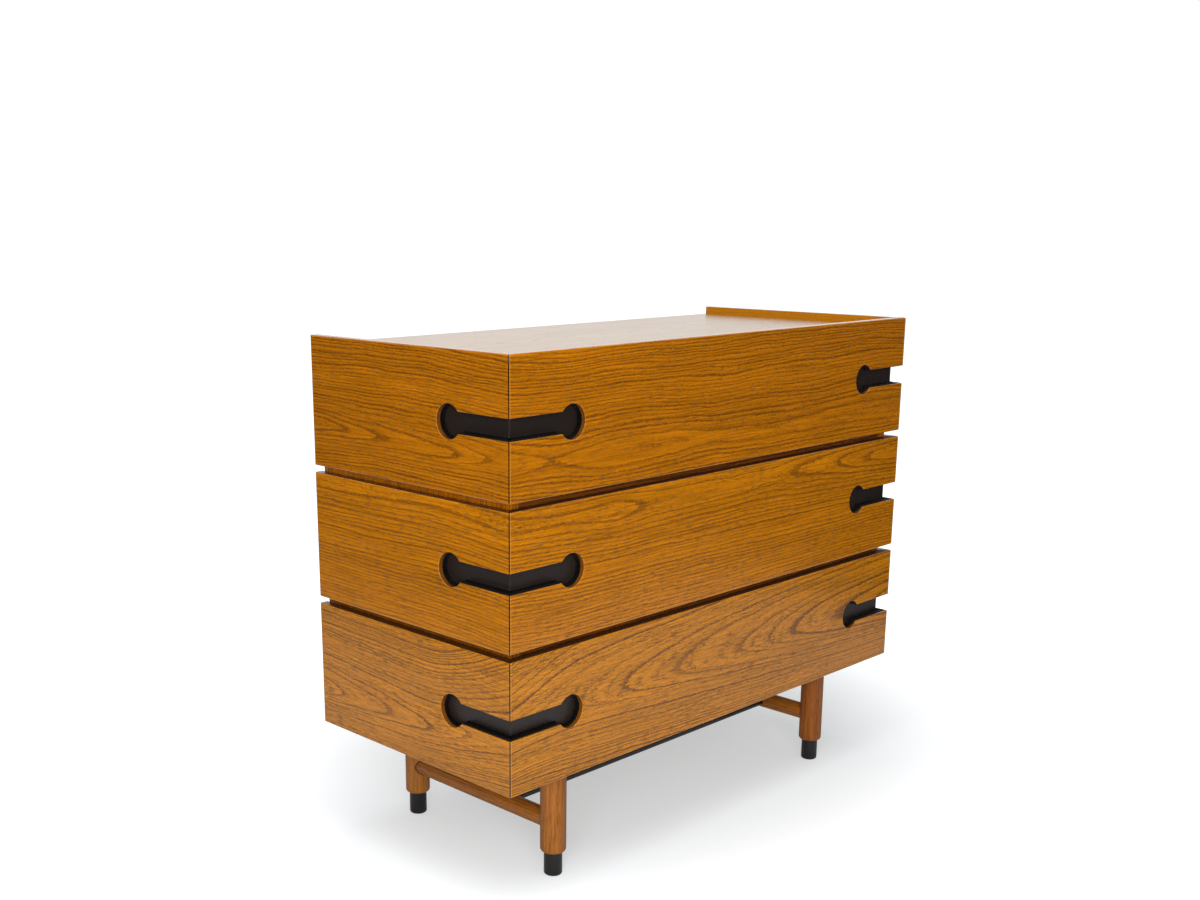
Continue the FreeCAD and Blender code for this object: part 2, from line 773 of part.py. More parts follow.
def rod(label, radius, along, start, length):
    """Round bar along X or Y from its start point."""
    bar = doc.addObject("Part::Cylinder", label)
    bar.Label = label
    bar.setExpression("Radius", radius)
    bar.setExpression("Height", length)
    bar.Placement = Placement(Vector(0, 0, 0), Rotation(Vector(0, 0, 1), along))
    place(bar, *start)
    return bar


def combined(kind, label, pieces):
    """Fusion or compound of several pieces."""
    group = doc.addObject(kind, label)
    group.Label = label
    if kind == "Part::Compound":
        group.Links = pieces
    else:
        group.Shapes = pieces
    return group


def cut_from(label, base, tool):
    cut = doc.addObject("Part::Cut", label)
    cut.Label = label
    cut.Base = base
    cut.Tool = tool
    return cut


crossbar_y = f"({half_depth} - Sizes.crossbar_inset)"
crossbar_half = f"({leg_x} - Sizes.stretcher_radius + Sizes.crossbar_socket)"


def side_stretcher():
    """Left dowel from front leg to rear leg: coped to the legs, with a tenon into each."""
    x, z = f"(-{leg_x})", stretcher_level
    dowel = rod("stretcher_dowel", cell("stretcher_radius"), front_rear, (x, f"(-{leg_y})", z),
                f"2 * {leg_y}")
    legs = []
    for end, y in (("front", f"(-{leg_y})"), ("rear", leg_y)):
        round_leg = rod(f"cope_{end}", "Sizes.leg_radius + Sizes.socket_fit", Vector(0, 0, 1), (x, y, "0"),
                        cell("base_height"))
        legs.append(round_leg)
    coped = cut_from("stretcher_coped", dowel, combined("Part::Compound", "stretcher_copes", legs))
    tenon_end = f"({leg_y} - Sizes.leg_radius + Sizes.tenon_length)"
    tenon = rod("stretcher_tenons", cell("tenon_radius"), front_rear, (x, f"(-{tenon_end})", z),
                f"2 * {tenon_end}")
    whole = combined("Part::MultiFuse", "stretcher_turned", [coped, tenon])
    bores = []
    bore_start = f"(-{crossbar_half} - Sizes.socket_fit)"
    for end, y in (("front", f"(-{crossbar_y})"), ("rear", crossbar_y)):
        bores.append(rod(f"crossbar_bore_{end}", "Sizes.crossbar_radius + Sizes.socket_fit", left_right,
                         (bore_start, y, z), "2 * Sizes.stretcher_radius"))
    return cut_from("side_stretcher_left", whole, combined("Part::Compound", "crossbar_bores", bores))


def leg_plate():
    """Steel plate between leg and bottom board, drilled for the bolt and four screws."""
    body = new_body("leg_plate_front_left")
    sketch = new_sketch(body, "outline", "XY_Plane")
    half = "(Sizes.leg_plate_width / 2)"
    rectangle(sketch, (f"(-{half})", half), (f"(-{half})", half))
    circle(sketch, "0", "0", "(Sizes.leg_bolt_radius + Sizes.socket_fit)", "bolt")
    offset = cell("leg_screw_offset")
    for number, (x, y) in enumerate(leg_screw_places(offset)):
        circle(sketch, x, y, "(Sizes.screw_shank_radius + Sizes.socket_fit)", f"screw{number}")
    pad(body, sketch, cell("leg_plate_thickness"))
    place(body, f"-{leg_x}", f"-{leg_y}", leg_head)
    return body


def leg_screw_places(offset):
    return [(x, y) for x in (f"(-{offset})", offset) for y in (f"(-{offset})", offset)]


front_left_leg = keep(leg())
keep(mirrored("leg_front_right", front_left_leg, left_right))
rear_left_leg = keep(mirrored("leg_rear_left", front_left_leg, front_rear))
keep(mirrored("leg_rear_right", rear_left_leg, left_right))
keep(four_corners("feet", foot()))

left_stretcher = keep(side_stretcher())
keep(mirrored("side_stretcher_right", left_stretcher, left_right))
crossbar_start = (f"(-{crossbar_half})", f"(-{crossbar_y})", stretcher_level)
front_bar = keep(rod("crossbar_front", cell("crossbar_radius"), left_right, crossbar_start,
                     f"2 * {crossbar_half}"))
keep(mirrored("crossbar_rear", front_bar, front_rear))

keep(four_corners("leg_plates", leg_plate()))
bolt_start = (f"(-{leg_x})", f"(-{leg_y})", f"({leg_head} - Sizes.leg_bolt_length)")
bolt_length = "Sizes.leg_bolt_length + Sizes.leg_plate_thickness"
bolt = rod("leg_bolt_front_left", cell("leg_bolt_radius"), Vector(0, 0, 1), bolt_start, bolt_length)
keep(four_corners("leg_bolts", bolt))

leg_screw_seats = []
for side_x in (-1, 1):
    for side_y in (-1, 1):
        for x, y in leg_screw_places(cell("leg_screw_offset")):
            seat = Vector(side_x * value(leg_x) + value(x), side_y * value(leg_y) + value(y), value(leg_head))
            leg_screw_seats.append((seat, Vector(0, 0, 1)))
keep(screw_group("leg_plate_screws", pan_head_screw(), leg_screw_seats))


# ---- check and write ----

doc.recompute()
for item in doc.Objects:
    if "Invalid" in item.State or "Error" in item.State:
        raise RuntimeError(f"{item.Label} failed: {item.State}")
for item in parts:
    if item.Shape.isNull() or not item.Shape.isValid():
        raise RuntimeError(f"{item.Label} has no valid shape")

os.makedirs("parts", exist_ok=True)
for item in parts:
    item.Shape.exportStep(f"parts/{item.Label}.step")
print(f"{len(parts)} sub-parts written")
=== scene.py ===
import math

import bpy
import numpy as np
from mathutils import Matrix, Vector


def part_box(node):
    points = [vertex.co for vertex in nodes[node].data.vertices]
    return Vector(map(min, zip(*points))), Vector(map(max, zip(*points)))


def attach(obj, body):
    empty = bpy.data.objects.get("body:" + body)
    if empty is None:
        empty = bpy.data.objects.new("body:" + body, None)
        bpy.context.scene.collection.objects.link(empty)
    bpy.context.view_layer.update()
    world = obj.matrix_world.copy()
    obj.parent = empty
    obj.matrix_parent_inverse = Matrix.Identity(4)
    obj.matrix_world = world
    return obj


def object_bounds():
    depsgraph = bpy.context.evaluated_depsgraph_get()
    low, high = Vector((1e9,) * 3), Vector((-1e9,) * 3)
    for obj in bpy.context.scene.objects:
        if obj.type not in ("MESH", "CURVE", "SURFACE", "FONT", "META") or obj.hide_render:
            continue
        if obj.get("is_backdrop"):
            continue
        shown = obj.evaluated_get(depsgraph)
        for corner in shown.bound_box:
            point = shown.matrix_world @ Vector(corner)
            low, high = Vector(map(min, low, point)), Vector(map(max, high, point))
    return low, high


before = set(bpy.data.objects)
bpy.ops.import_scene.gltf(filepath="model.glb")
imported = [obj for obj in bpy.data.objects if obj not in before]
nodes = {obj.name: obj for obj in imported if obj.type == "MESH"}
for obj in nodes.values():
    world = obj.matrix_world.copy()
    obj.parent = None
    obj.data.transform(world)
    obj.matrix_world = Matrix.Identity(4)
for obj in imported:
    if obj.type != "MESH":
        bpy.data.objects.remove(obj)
cadLow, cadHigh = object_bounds()
print("frame loaded:", len(nodes), "nodes")

drawers = ("bottom", "middle", "top")  # from the floor up
sides = {"left": -1, "right": 1}
frontFace = cadLow.y
leftFace, rightFace = cadLow.x, cadHigh.x


# small helpers for node trees

def feed(tree, socket, value):
    # a link where value is a socket, otherwise the socket's own value
    if isinstance(value, bpy.types.NodeSocket):
        tree.links.new(value, socket)
    else:
        socket.default_value = value


def put(tree, kind, settings=None, sockets=None):
    node = tree.nodes.new("ShaderNode" + kind)
    for name, value in (settings or {}).items():
        setattr(node, name, value)
    for name, value in (sockets or {}).items():
        feed(tree, node.inputs[name], value)
    return node


def calc(tree, operation, *values, clamp=False):
    node = put(tree, "Math", {"operation": operation, "use_clamp": clamp})
    for socket, value in zip(node.inputs, values):
        feed(tree, socket, value)
    return node.outputs[0]


def apart(tree, first, second):
    return calc(tree, "ABSOLUTE", calc(tree, "SUBTRACT", first, second))


def vectorCalc(tree, operation, first, second):
    node = put(tree, "VectorMath", {"operation": operation})
    feed(tree, node.inputs[0], first)
    feed(tree, node.inputs[1], second)
    return node.outputs["Value" if operation == "DOT_PRODUCT" else "Vector"]


def ramp(tree, value, low, high, toLow=0.0, toHigh=1.0):
    # smooth step from toLow at low to toHigh at high
    node = put(tree, "MapRange", {"interpolation_type": "SMOOTHSTEP"})
    for socket, number in zip(node.inputs, (value, low, high, toLow, toHigh)):
        feed(tree, socket, number)
    return node.outputs[0]


seedSlant = 1.7  # how far a seed moves a noise across for each step along


def noise(tree, vector, scales, seed=0.0, detail=2.0, roughness=0.5):
    # noise stretched by one scale for each axis, about 0.5, moved by the seed
    stretched = vectorCalc(tree, "MULTIPLY", vector, scales)
    seedAcross = calc(tree, "MULTIPLY", seed, seedSlant)
    shift = put(tree, "CombineXYZ", sockets={"X": seed, "Y": seedAcross, "Z": 0.0})
    moved = vectorCalc(tree, "ADD", stretched, shift.outputs[0])
    return put(tree, "TexNoise", sockets={"Vector": moved, "Scale": 1.0, "Detail": detail,
                                          "Roughness": roughness}).outputs["Fac"]


def evenNoise(tree, *values, **named):
    # the same about 0
    return calc(tree, "SUBTRACT", noise(tree, *values, **named), 0.5)


def blendColour(tree, factor, first, second, way="MIX"):
    node = put(tree, "Mix", {"data_type": "RGBA", "blend_type": way})
    for index, value in ((0, factor), (6, first), (7, second)):  # 6 and 7 are the node's colours
        feed(tree, node.inputs[index], value)
    return node.outputs[2]


def blendValue(tree, factor, first, second):
    return put(tree, "Mix", {"data_type": "FLOAT"}, {0: factor, 2: first, 3: second}).outputs[0]


def grey(tree, value):
    return put(tree, "CombineColor", sockets={0: value, 1: value, 2: value}).outputs[0]


def objectPlace(tree):
    return put(tree, "TexCoord").outputs["Object"]


def axesOf(tree, vector):
    return put(tree, "SeparateXYZ", sockets={0: vector}).outputs


def newGroup(name, inputs, outputs):
    group = bpy.data.node_groups.new(name, "ShaderNodeTree")
    for title, kind, value in inputs:
        socket = group.interface.new_socket(title, in_out="INPUT", socket_type="NodeSocket" + kind)
        if value is not None:
            socket.default_value = value
    for title, kind in outputs:
        group.interface.new_socket(title, in_out="OUTPUT", socket_type="NodeSocket" + kind)
    return group, group.nodes.new("NodeGroupInput").outputs, group.nodes.new("NodeGroupOutput").inputs


def useGroup(tree, group, values):
    node = tree.nodes.new("ShaderNodeGroup")
    node.node_tree = group
    for name, value in values.items():
        feed(tree, node.inputs[name], value)
    return node.outputs


def newMaterial(name):
    material = bpy.data.materials.new(name)
    material.use_nodes = True
    tree = material.node_tree
    return material, tree, tree.nodes["Principled BSDF"].inputs


def layOver(material, factor, colour, way="MIX"):
    # blends a colour into the one that the material has already
    tree = material.node_tree
    baseColour = tree.nodes["Principled BSDF"].inputs["Base Color"]
    feed(tree, baseColour, blendColour(tree, factor, baseColour.links[0].from_socket, colour, way))


def dress(nodeName, material):
    for slot in nodes[nodeName].material_slots:
        slot.material = material


# oak, one board cut near the heart of the log.
# A ring is the surface f = k * ringWidth, where f = sqrt(h^2 + d^2), h is the height above the heart line
# and d the depth of the board under it. d is greatest at the turn, so arches point there from both ends,
# and an eye is a place where d dips.

oakGrain = {
    # cells of each noise in a metre: along the board, across it and into it
    "slowScale": (1.7, 8.0, 8.0),        # slow wander of the heart line
    "wobbleScale": (12.0, 30.0, 30.0),   # ripple of the heart line
    "unevenScale": (4.0, 3.0, 3.0),      # wander of the depth
    "teethScale": (75.0, 330.0, 330.0),  # ragged edges of the lines
    "fibreScale": (9.0, 380.0, 380.0),
    "dotsScale": (140.0, 500.0, 500.0),
    "dashesScale": (48.0, 600.0, 600.0),
    "patchesScale": (6.0, 40.0, 40.0),
    "toneScale": (2.0, 24.0, 24.0),
    # the values of a noise between which it comes in
    "dotsRise": (0.40, 0.58),
    "dashesRise": (0.53, 0.60),
    "patchesRise": (0.35, 0.65),
    # the rings
    "lean": 0.6,               # how much they lean as they go into the board
    "sideBlend": (0.16, -0.2), # where along the leaf the side's figure comes in
    "pullBlend": 0.01,         # how far from the heart line the pull changes
    "flareBlend": 0.04,        # how far from the turn the flare changes
    "turnRound": 0.0025,       # square of the length that rounds the arches at the turn
    "depthWander": 0.2,        # the depth's share of the wander
    "teethReach": 0.28,        # in ring widths
    "yearScale": 70.0,         # how often in a metre the years' widths change
    # the lines; a pair is (factor, offset) for the number next to it
    "flareSteep": 8.0,         # how steep the flare makes the rings
    "steepShare": 1.4,         # width of a line where the rings stand square to the face
    "lineFrom": (0.12, 0.08),  # where in a ring its line starts to fade, by the year's own number
    "lineTo": (0.22, 0.26),    # and where it has gone
    "trailTo": 0.95,           # end of the soft trail after the line
    "trailShare": 0.36,        # and how dark it starts
    "lineShare": 1.15,         # how dark a full line is
    "faintShare": 0.3,         # what the faintest years lose of that
    "lesserDrift": 3.0,        # the lesser lines wander off the rings
    "lesserLines": 2.4,        # and there are so many in each
    "lesserFade": (0.1, 0.5, 0.6, 0.0),
    "lesserSteep": (0.3, 1.0, 1.3, 0.45),
    # colour, gloss and relief
    "lineDots": (0.35, 0.6),
    "lesserPatches": (0.6, 0.4),
    "linePores": 0.6,
    "patchPores": (0.45, 0.25),
    "toneLift": (0.5, 0.75),
    "fibreLift": 1.1,
    "poreRoughness": 0.2,
    "fibreRoughness": (0.1, 0.15),
    "lineRelief": -0.35,
    "poreRelief": -1.0,
    "fibreRelief": 0.3,
}


def makeOakGroup():
    group, given, out = newGroup("oakBoard", (
        ("Board", "Vector", None),
        ("Seed", "Float", 0.0),
        ("Heart Height", "Float", 0.1),
        ("Side Drop", "Float", 0.0),
        ("Tilt", "Float", 0.0),
        ("Turn", "Float", 0.0),
        ("Depth", "Float", 0.08),
        ("Flare", "Float", 0.03),
        ("Flare Back", "Float", 0.03),
        ("Pull Above", "Float", 1.0),
        ("Pull Below", "Float", 1.0),
        ("Pull On Side", "Float", 1.0),
        ("Eye At", "Float", 0.0),
        ("Eye Length", "Float", 0.1),
        ("Eye Depth", "Float", 0.0),
        ("Ring Width", "Float", 0.0036),
        ("Line Width", "Float", 1.0),
        ("Heart Share", "Float", 0.35),
        ("Uneven Years", "Float", 1.0),
        ("Wander", "Float", 0.02),
        ("Ripple", "Float", 0.0015),
        ("Ring Strength", "Float", 0.8),
        ("Pore Strength", "Float", 0.5),
        ("Light Wood", "Color", (0.45, 0.15, 0.004, 1)),
        ("Dark Wood", "Color", (0.18, 0.05, 0.002, 1)),
        ("Pore Colour", "Color", (0.2, 0.09, 0.03, 1)),
    ), (("Color", "Color"), ("Roughness", "Float"), ("Height", "Float")))
    seed = given["Seed"]
    split = axesOf(group, given["Board"])
    u = split["X"]
    v = calc(group, "MULTIPLY_ADD", split["Z"], oakGrain["lean"], split["Y"])
    board = put(group, "CombineXYZ", sockets={"X": u, "Y": v, "Z": split["Z"]}).outputs[0]
    fromTurn = calc(group, "SUBTRACT", u, given["Turn"])
    onSide = ramp(group, u, *oakGrain["sideBlend"])

    slow = evenNoise(group, board, oakGrain["slowScale"], seed)
    wobble = evenNoise(group, board, oakGrain["wobbleScale"], seed, detail=3.0, roughness=0.55)
    heartLine = calc(group, "MULTIPLY_ADD", fromTurn, given["Tilt"], given["Heart Height"])
    heartLine = calc(group, "SUBTRACT", heartLine, calc(group, "MULTIPLY", onSide, given["Side Drop"]))
    h = calc(group, "MULTIPLY_ADD", slow, given["Wander"], calc(group, "SUBTRACT", v, heartLine))
    h = calc(group, "MULTIPLY_ADD", wobble, given["Ripple"], h)
    above = ramp(group, h, -oakGrain["pullBlend"], oakGrain["pullBlend"])
    pull = blendValue(group, above, given["Pull Below"], given["Pull Above"])
    onSidePull = calc(group, "SUBTRACT", given["Pull On Side"], 1.0)
    pull = calc(group, "MULTIPLY", pull, calc(group, "MULTIPLY_ADD", onSide, onSidePull, 1.0))
    h = calc(group, "MULTIPLY", h, pull)

    away = calc(group, "SQRT", calc(group, "MULTIPLY_ADD", fromTurn, fromTurn, oakGrain["turnRound"]))
    ahead = ramp(group, fromTurn, -oakGrain["flareBlend"], oakGrain["flareBlend"])
    flare = blendValue(group, ahead, given["Flare Back"], given["Flare"])
    d = calc(group, "SUBTRACT", given["Depth"], calc(group, "MULTIPLY", away, flare))
    fromEye = calc(group, "DIVIDE", calc(group, "SUBTRACT", u, given["Eye At"]), given["Eye Length"])
    eye = calc(group, "EXPONENT", calc(group, "MULTIPLY", calc(group, "MULTIPLY", fromEye, fromEye), -1.0))
    d = calc(group, "SUBTRACT", d, calc(group, "MULTIPLY", eye, given["Eye Depth"]))
    uneven = evenNoise(group, board, oakGrain["unevenScale"], seed)
    depthWander = calc(group, "MULTIPLY", given["Wander"], oakGrain["depthWander"])
    d = calc(group, "MULTIPLY_ADD", uneven, depthWander, d)
    f = calc(group, "SQRT", calc(group, "MULTIPLY_ADD", h, h, calc(group, "MULTIPLY", d, d)))
    teeth = evenNoise(group, board, oakGrain["teethScale"], seed)
    teethReach = calc(group, "MULTIPLY", given["Ring Width"], oakGrain["teethReach"])
    f = calc(group, "MULTIPLY_ADD", teeth, teethReach, f)

    # some years are wider than others, and some lines darker
    years = calc(group, "MULTIPLY_ADD", f, oakGrain["yearScale"], seed)
    spread = put(group, "TexNoise", {"noise_dimensions": "1D"}, {"W": years, "Scale": 1.0, "Detail": 1.0})
    spread = calc(group, "SUBTRACT", spread.outputs["Fac"], 0.5)
    rings = calc(group, "MULTIPLY_ADD", spread, given["Uneven Years"],
                 calc(group, "DIVIDE", f, given["Ring Width"]))
    year = put(group, "TexWhiteNoise", {"noise_dimensions": "1D"},
               {"W": calc(group, "ADD", calc(group, "FLOOR", rings), seed)}).outputs["Value"]
    # a line keeps its real width where the rings lie flat in the face, so it doesn't smear along the heart
    steep = calc(group, "DIVIDE", calc(group, "MULTIPLY", calc(group, "ABSOLUTE", h), pull), f)
    across = calc(group, "MULTIPLY", flare, oakGrain["flareSteep"])
    steep = calc(group, "SQRT", calc(group, "MULTIPLY_ADD", steep, steep,
                                     calc(group, "MULTIPLY", across, across)))
    lineWidth = ramp(group, steep, 0.0, 1.0, given["Heart Share"], oakGrain["steepShare"])
    lineWidth = calc(group, "MULTIPLY", lineWidth, given["Line Width"])
    within = calc(group, "DIVIDE", calc(group, "FRACT", rings), lineWidth)
    line = ramp(group, within, calc(group, "MULTIPLY_ADD", year, *oakGrain["lineFrom"]),
                calc(group, "MULTIPLY_ADD", year, *oakGrain["lineTo"]), 1.0, 0.0)
    trail = ramp(group, within, 0.0, oakGrain["trailTo"], oakGrain["trailShare"], 0.0)
    faint = calc(group, "MULTIPLY", calc(group, "SUBTRACT", 1.0, year),
                 calc(group, "MULTIPLY", given["Uneven Years"], oakGrain["faintShare"]))
    early = calc(group, "MULTIPLY", calc(group, "MAXIMUM", line, trail),
                 calc(group, "SUBTRACT", oakGrain["lineShare"], faint))
    lesser = calc(group, "FRACT", calc(group, "MULTIPLY_ADD", slow, oakGrain["lesserDrift"],
                                       calc(group, "MULTIPLY", rings, oakGrain["lesserLines"])))
    lesser = calc(group, "MULTIPLY", ramp(group, lesser, *oakGrain["lesserFade"]),
                  ramp(group, steep, *oakGrain["lesserSteep"]))

    fibre = noise(group, board, oakGrain["fibreScale"], seed)
    dots = noise(group, board, oakGrain["dotsScale"], seed, detail=1.0)
    dots = ramp(group, dots, *oakGrain["dotsRise"])
    dashes = noise(group, board, oakGrain["dashesScale"], seed, detail=1.0)
    dashes = ramp(group, dashes, *oakGrain["dashesRise"])
    patches = noise(group, board, oakGrain["patchesScale"], seed)
    patches = ramp(group, patches, *oakGrain["patchesRise"])
    tone = noise(group, board, oakGrain["toneScale"], seed, detail=3.0, roughness=0.6)

    early = calc(group, "MULTIPLY", early, calc(group, "MULTIPLY_ADD", dots, *oakGrain["lineDots"]))
    broken = calc(group, "MULTIPLY", dots, calc(group, "MULTIPLY_ADD", patches, *oakGrain["lesserPatches"]))
    early = calc(group, "MAXIMUM", early, calc(group, "MULTIPLY", lesser, broken))
    ringShare = calc(group, "MULTIPLY", early, given["Ring Strength"], clamp=True)
    colour = blendColour(group, ringShare, given["Light Wood"], given["Dark Wood"])
    porous = calc(group, "MULTIPLY_ADD", early, oakGrain["linePores"],
                  calc(group, "MULTIPLY_ADD", patches, *oakGrain["patchPores"]))
    pores = calc(group, "MULTIPLY", dashes, porous, clamp=True)
    poreShare = calc(group, "MULTIPLY", pores, given["Pore Strength"])
    colour = blendColour(group, poreShare, colour, given["Pore Colour"])
    lift = calc(group, "MULTIPLY_ADD", tone, *oakGrain["toneLift"])
    lift = calc(group, "MULTIPLY_ADD", fibre, oakGrain["fibreLift"],
                calc(group, "SUBTRACT", lift, oakGrain["fibreLift"] / 2))
    feed(group, out["Color"], blendColour(group, 1.0, colour, grey(group, lift), "MULTIPLY"))
    feed(group, out["Roughness"], calc(group, "MULTIPLY_ADD", pores, oakGrain["poreRoughness"],
                                       calc(group, "MULTIPLY_ADD", fibre, *oakGrain["fibreRoughness"])))
    relief = calc(group, "MULTIPLY_ADD", early, oakGrain["lineRelief"],
                  calc(group, "MULTIPLY", pores, oakGrain["poreRelief"]))
    feed(group, out["Height"], calc(group, "MULTIPLY_ADD", fibre, oakGrain["fibreRelief"], relief))
    return group


lineCore = 0.6  # the share of a soft line's width that is full


def makeLineGroup():
    # a soft line where a distance in metres is near zero: 1 on the line, 0 past its width
    group, given, out = newGroup("edgeLine", (("Distance", "Float", 0.0), ("Width", "Float", 0.001)),
                                 (("Mask", "Float"),))
    distance = calc(group, "ABSOLUTE", given["Distance"])
    full = calc(group, "MULTIPLY", given["Width"], lineCore)
    feed(group, out["Mask"], ramp(group, distance, full, given["Width"], 1.0, 0.0))
    return group


hazeScale = {"slow": (9.0, 9.0, 9.0), "fine": (700.0, 700.0, 700.0)}


def makeHazeGroup():
    # handling marks and fine unevenness of a finish, each about 0.5
    group, given, out = newGroup("surfaceHaze", (("Position", "Vector", None), ("Seed", "Float", 0.0)),
                                 (("Slow", "Float"), ("Fine", "Float")))
    place, seed = given["Position"], given["Seed"]
    feed(group, out["Slow"], noise(group, place, hazeScale["slow"], seed, detail=4.0, roughness=0.6))
    feed(group, out["Fine"], noise(group, place, hazeScale["fine"], seed))
    return group


oakBoard = makeOakGroup()
edgeLine = makeLineGroup()
surfaceHaze = makeHazeGroup()


def lineMask(tree, distance, width):
    return useGroup(tree, edgeLine, {"Distance": distance, "Width": width})["Mask"]


def woodColours(light, dark, pore, shade=(1, 1, 1)):
    # the oak group's three colours, each times the shade
    tones = [tuple(part * share for part, share in zip(tone, shade)) + (1,) for tone in (light, dark, pore)]
    return dict(zip(("Light Wood", "Dark Wood", "Pore Colour"), tones))


def boardPosition(tree, along, across, depth):
    # each is (axis, factor, offset): the board's own place = axis * factor + offset, in metres
    split = axesOf(tree, objectPlace(tree))
    parts = [calc(tree, "MULTIPLY_ADD", split[axis], factor, offset)
             for axis, factor, offset in (along, across, depth)]
    return put(tree, "CombineXYZ", sockets=dict(zip("XYZ", parts))).outputs[0], parts


grainRelief = 0.0004  # metres that a height of 1 in the grain stands for


def finishSurface(tree, shader, look, bump):
    feed(tree, shader["Base Color"], look["Color"])
    feed(tree, shader["Roughness"], look["Roughness"])
    feed(tree, shader["Normal"], put(tree, "Bump", sockets={
        "Strength": bump, "Distance": grainRelief, "Height": look["Height"]}).outputs[0])


# veneer of the drawer fronts and side panels: one leaf runs round each drawer's corner

veneer = {
    "tones": ((0.500, 0.166, 0.0012), (0.098, 0.026, 0.0008), (0.160, 0.058, 0.0050)),  # light, dark, pores
    "bump": 0.2,
    "gloss": 1.42,                # index of refraction of the lacquer
    # a pair of lengths is where an effect starts and where it is full or gone
    "seamWidth": 0.0014,
    "seamColour": (0.020, 0.006, 0.002, 1),
    "mitreWidth": 0.0009,         # painted shade on the two cut faces of the mitre, inside the joint
    "arrisPlace": 0.0022,         # painted highlight on the arris, this far from the mitre, on the front
    "arrisWidth": 0.0014,
    "arrisShare": 0.35,
    "lowerHighlightWidth": 0.0022,          # a painted highlight along the lower edge
    "lowerHighlightShare": {"bottom": 0.45, "middle": 0.7, "top": 0.2},
    # colour of the painted highlights on the lower edge, the arris and the slots' lips
    "paintedHighlight": (0.62, 0.30, 0.06, 1),
    "paintedEdgeShade": (0.075, 0.028, 0.009, 1),  # painted shade on the upper edges of the two lower drawers
    "edgeDepth": (0.0005, 0.0002),          # below the upper edge
    "edgeRoughness": 0.4,
    "coatDepth": (0.0006, 0.0001),          # lacquer on the top drawer's upper edge
    "coatRoughness": 0.25,
    "slotReach": (0.154, 0.158),            # from the corner
    "slotHeight": (0.027, 0.029),           # from the middle of the front
    "slotWall": (0.14, 0.042, 0.006, 1),    # the cut wood inside the finger slots
    "cutDepth": (0.0009, 0.0014),
    "cutShare": 0.85,
    # a painted highlight on the slots' lip, just behind the face
    "lipPlace": 0.0007,
    "lipWidth": 0.0006,
    "lipShare": 0.4,
    "innerFace": (0.57, 0.218, 0.006, 1),   # the plain backs of the boards, seen above the top
    "innerDepth": (0.0146, 0.0149),
    "innerShare": 0.6,
}
leaves = {  # heart height above the drawer's lower edge, and the figure round it; shade multiplies the whole leaf, painted light and shade that evens out how the lamps and reflections fall on each drawer
    "bottom": {"shade": (1.01, 1.07, 1.0), "Seed": 3.1, "Heart Height": 0.116, "Side Drop": 0.056,
               "Tilt": -0.008, "Turn": 0.0, "Depth": 0.0846, "Flare": 0.038, "Flare Back": 0.050,
               "Pull Above": 0.62, "Pull Below": 1.05, "Pull On Side": 1.7, "Ring Width": 0.0044,
               "Line Width": 0.95, "Uneven Years": 1.6, "Wander": 0.02, "Ripple": 0.006,
               "Ring Strength": 0.85, "Pore Strength": 0.95},
    "middle": {"shade": (1.0, 1.0, 0.5), "Seed": 8.7, "Heart Height": 0.180, "Side Drop": -0.02,
               "Tilt": 0.0, "Turn": 0.65, "Depth": 0.037, "Flare": 0.055, "Flare Back": 0.006,
               "Eye At": 0.22, "Eye Length": 0.07, "Eye Depth": 0.003, "Ring Width": 0.0056,
               "Uneven Years": 0.9, "Wander": 0.025, "Ripple": 0.006, "Heart Share": 0.5,
               "Ring Strength": 0.66, "Pore Strength": 0.8},
    "top": {"shade": (0.89, 0.86, 0.6), "Seed": 5.4, "Heart Height": 0.052, "Side Drop": -0.015,
            "Tilt": 0.0, "Turn": 0.05, "Depth": 0.036, "Flare": 0.004, "Flare Back": 0.048,
            "Eye At": 0.27, "Eye Length": 0.12, "Eye Depth": 0.005, "Ring Width": 0.0052,
            "Uneven Years": 0.9, "Wander": 0.045, "Ripple": 0.008, "Heart Share": 0.85,
            "Ring Strength": 0.68, "Pore Strength": 0.6},
}


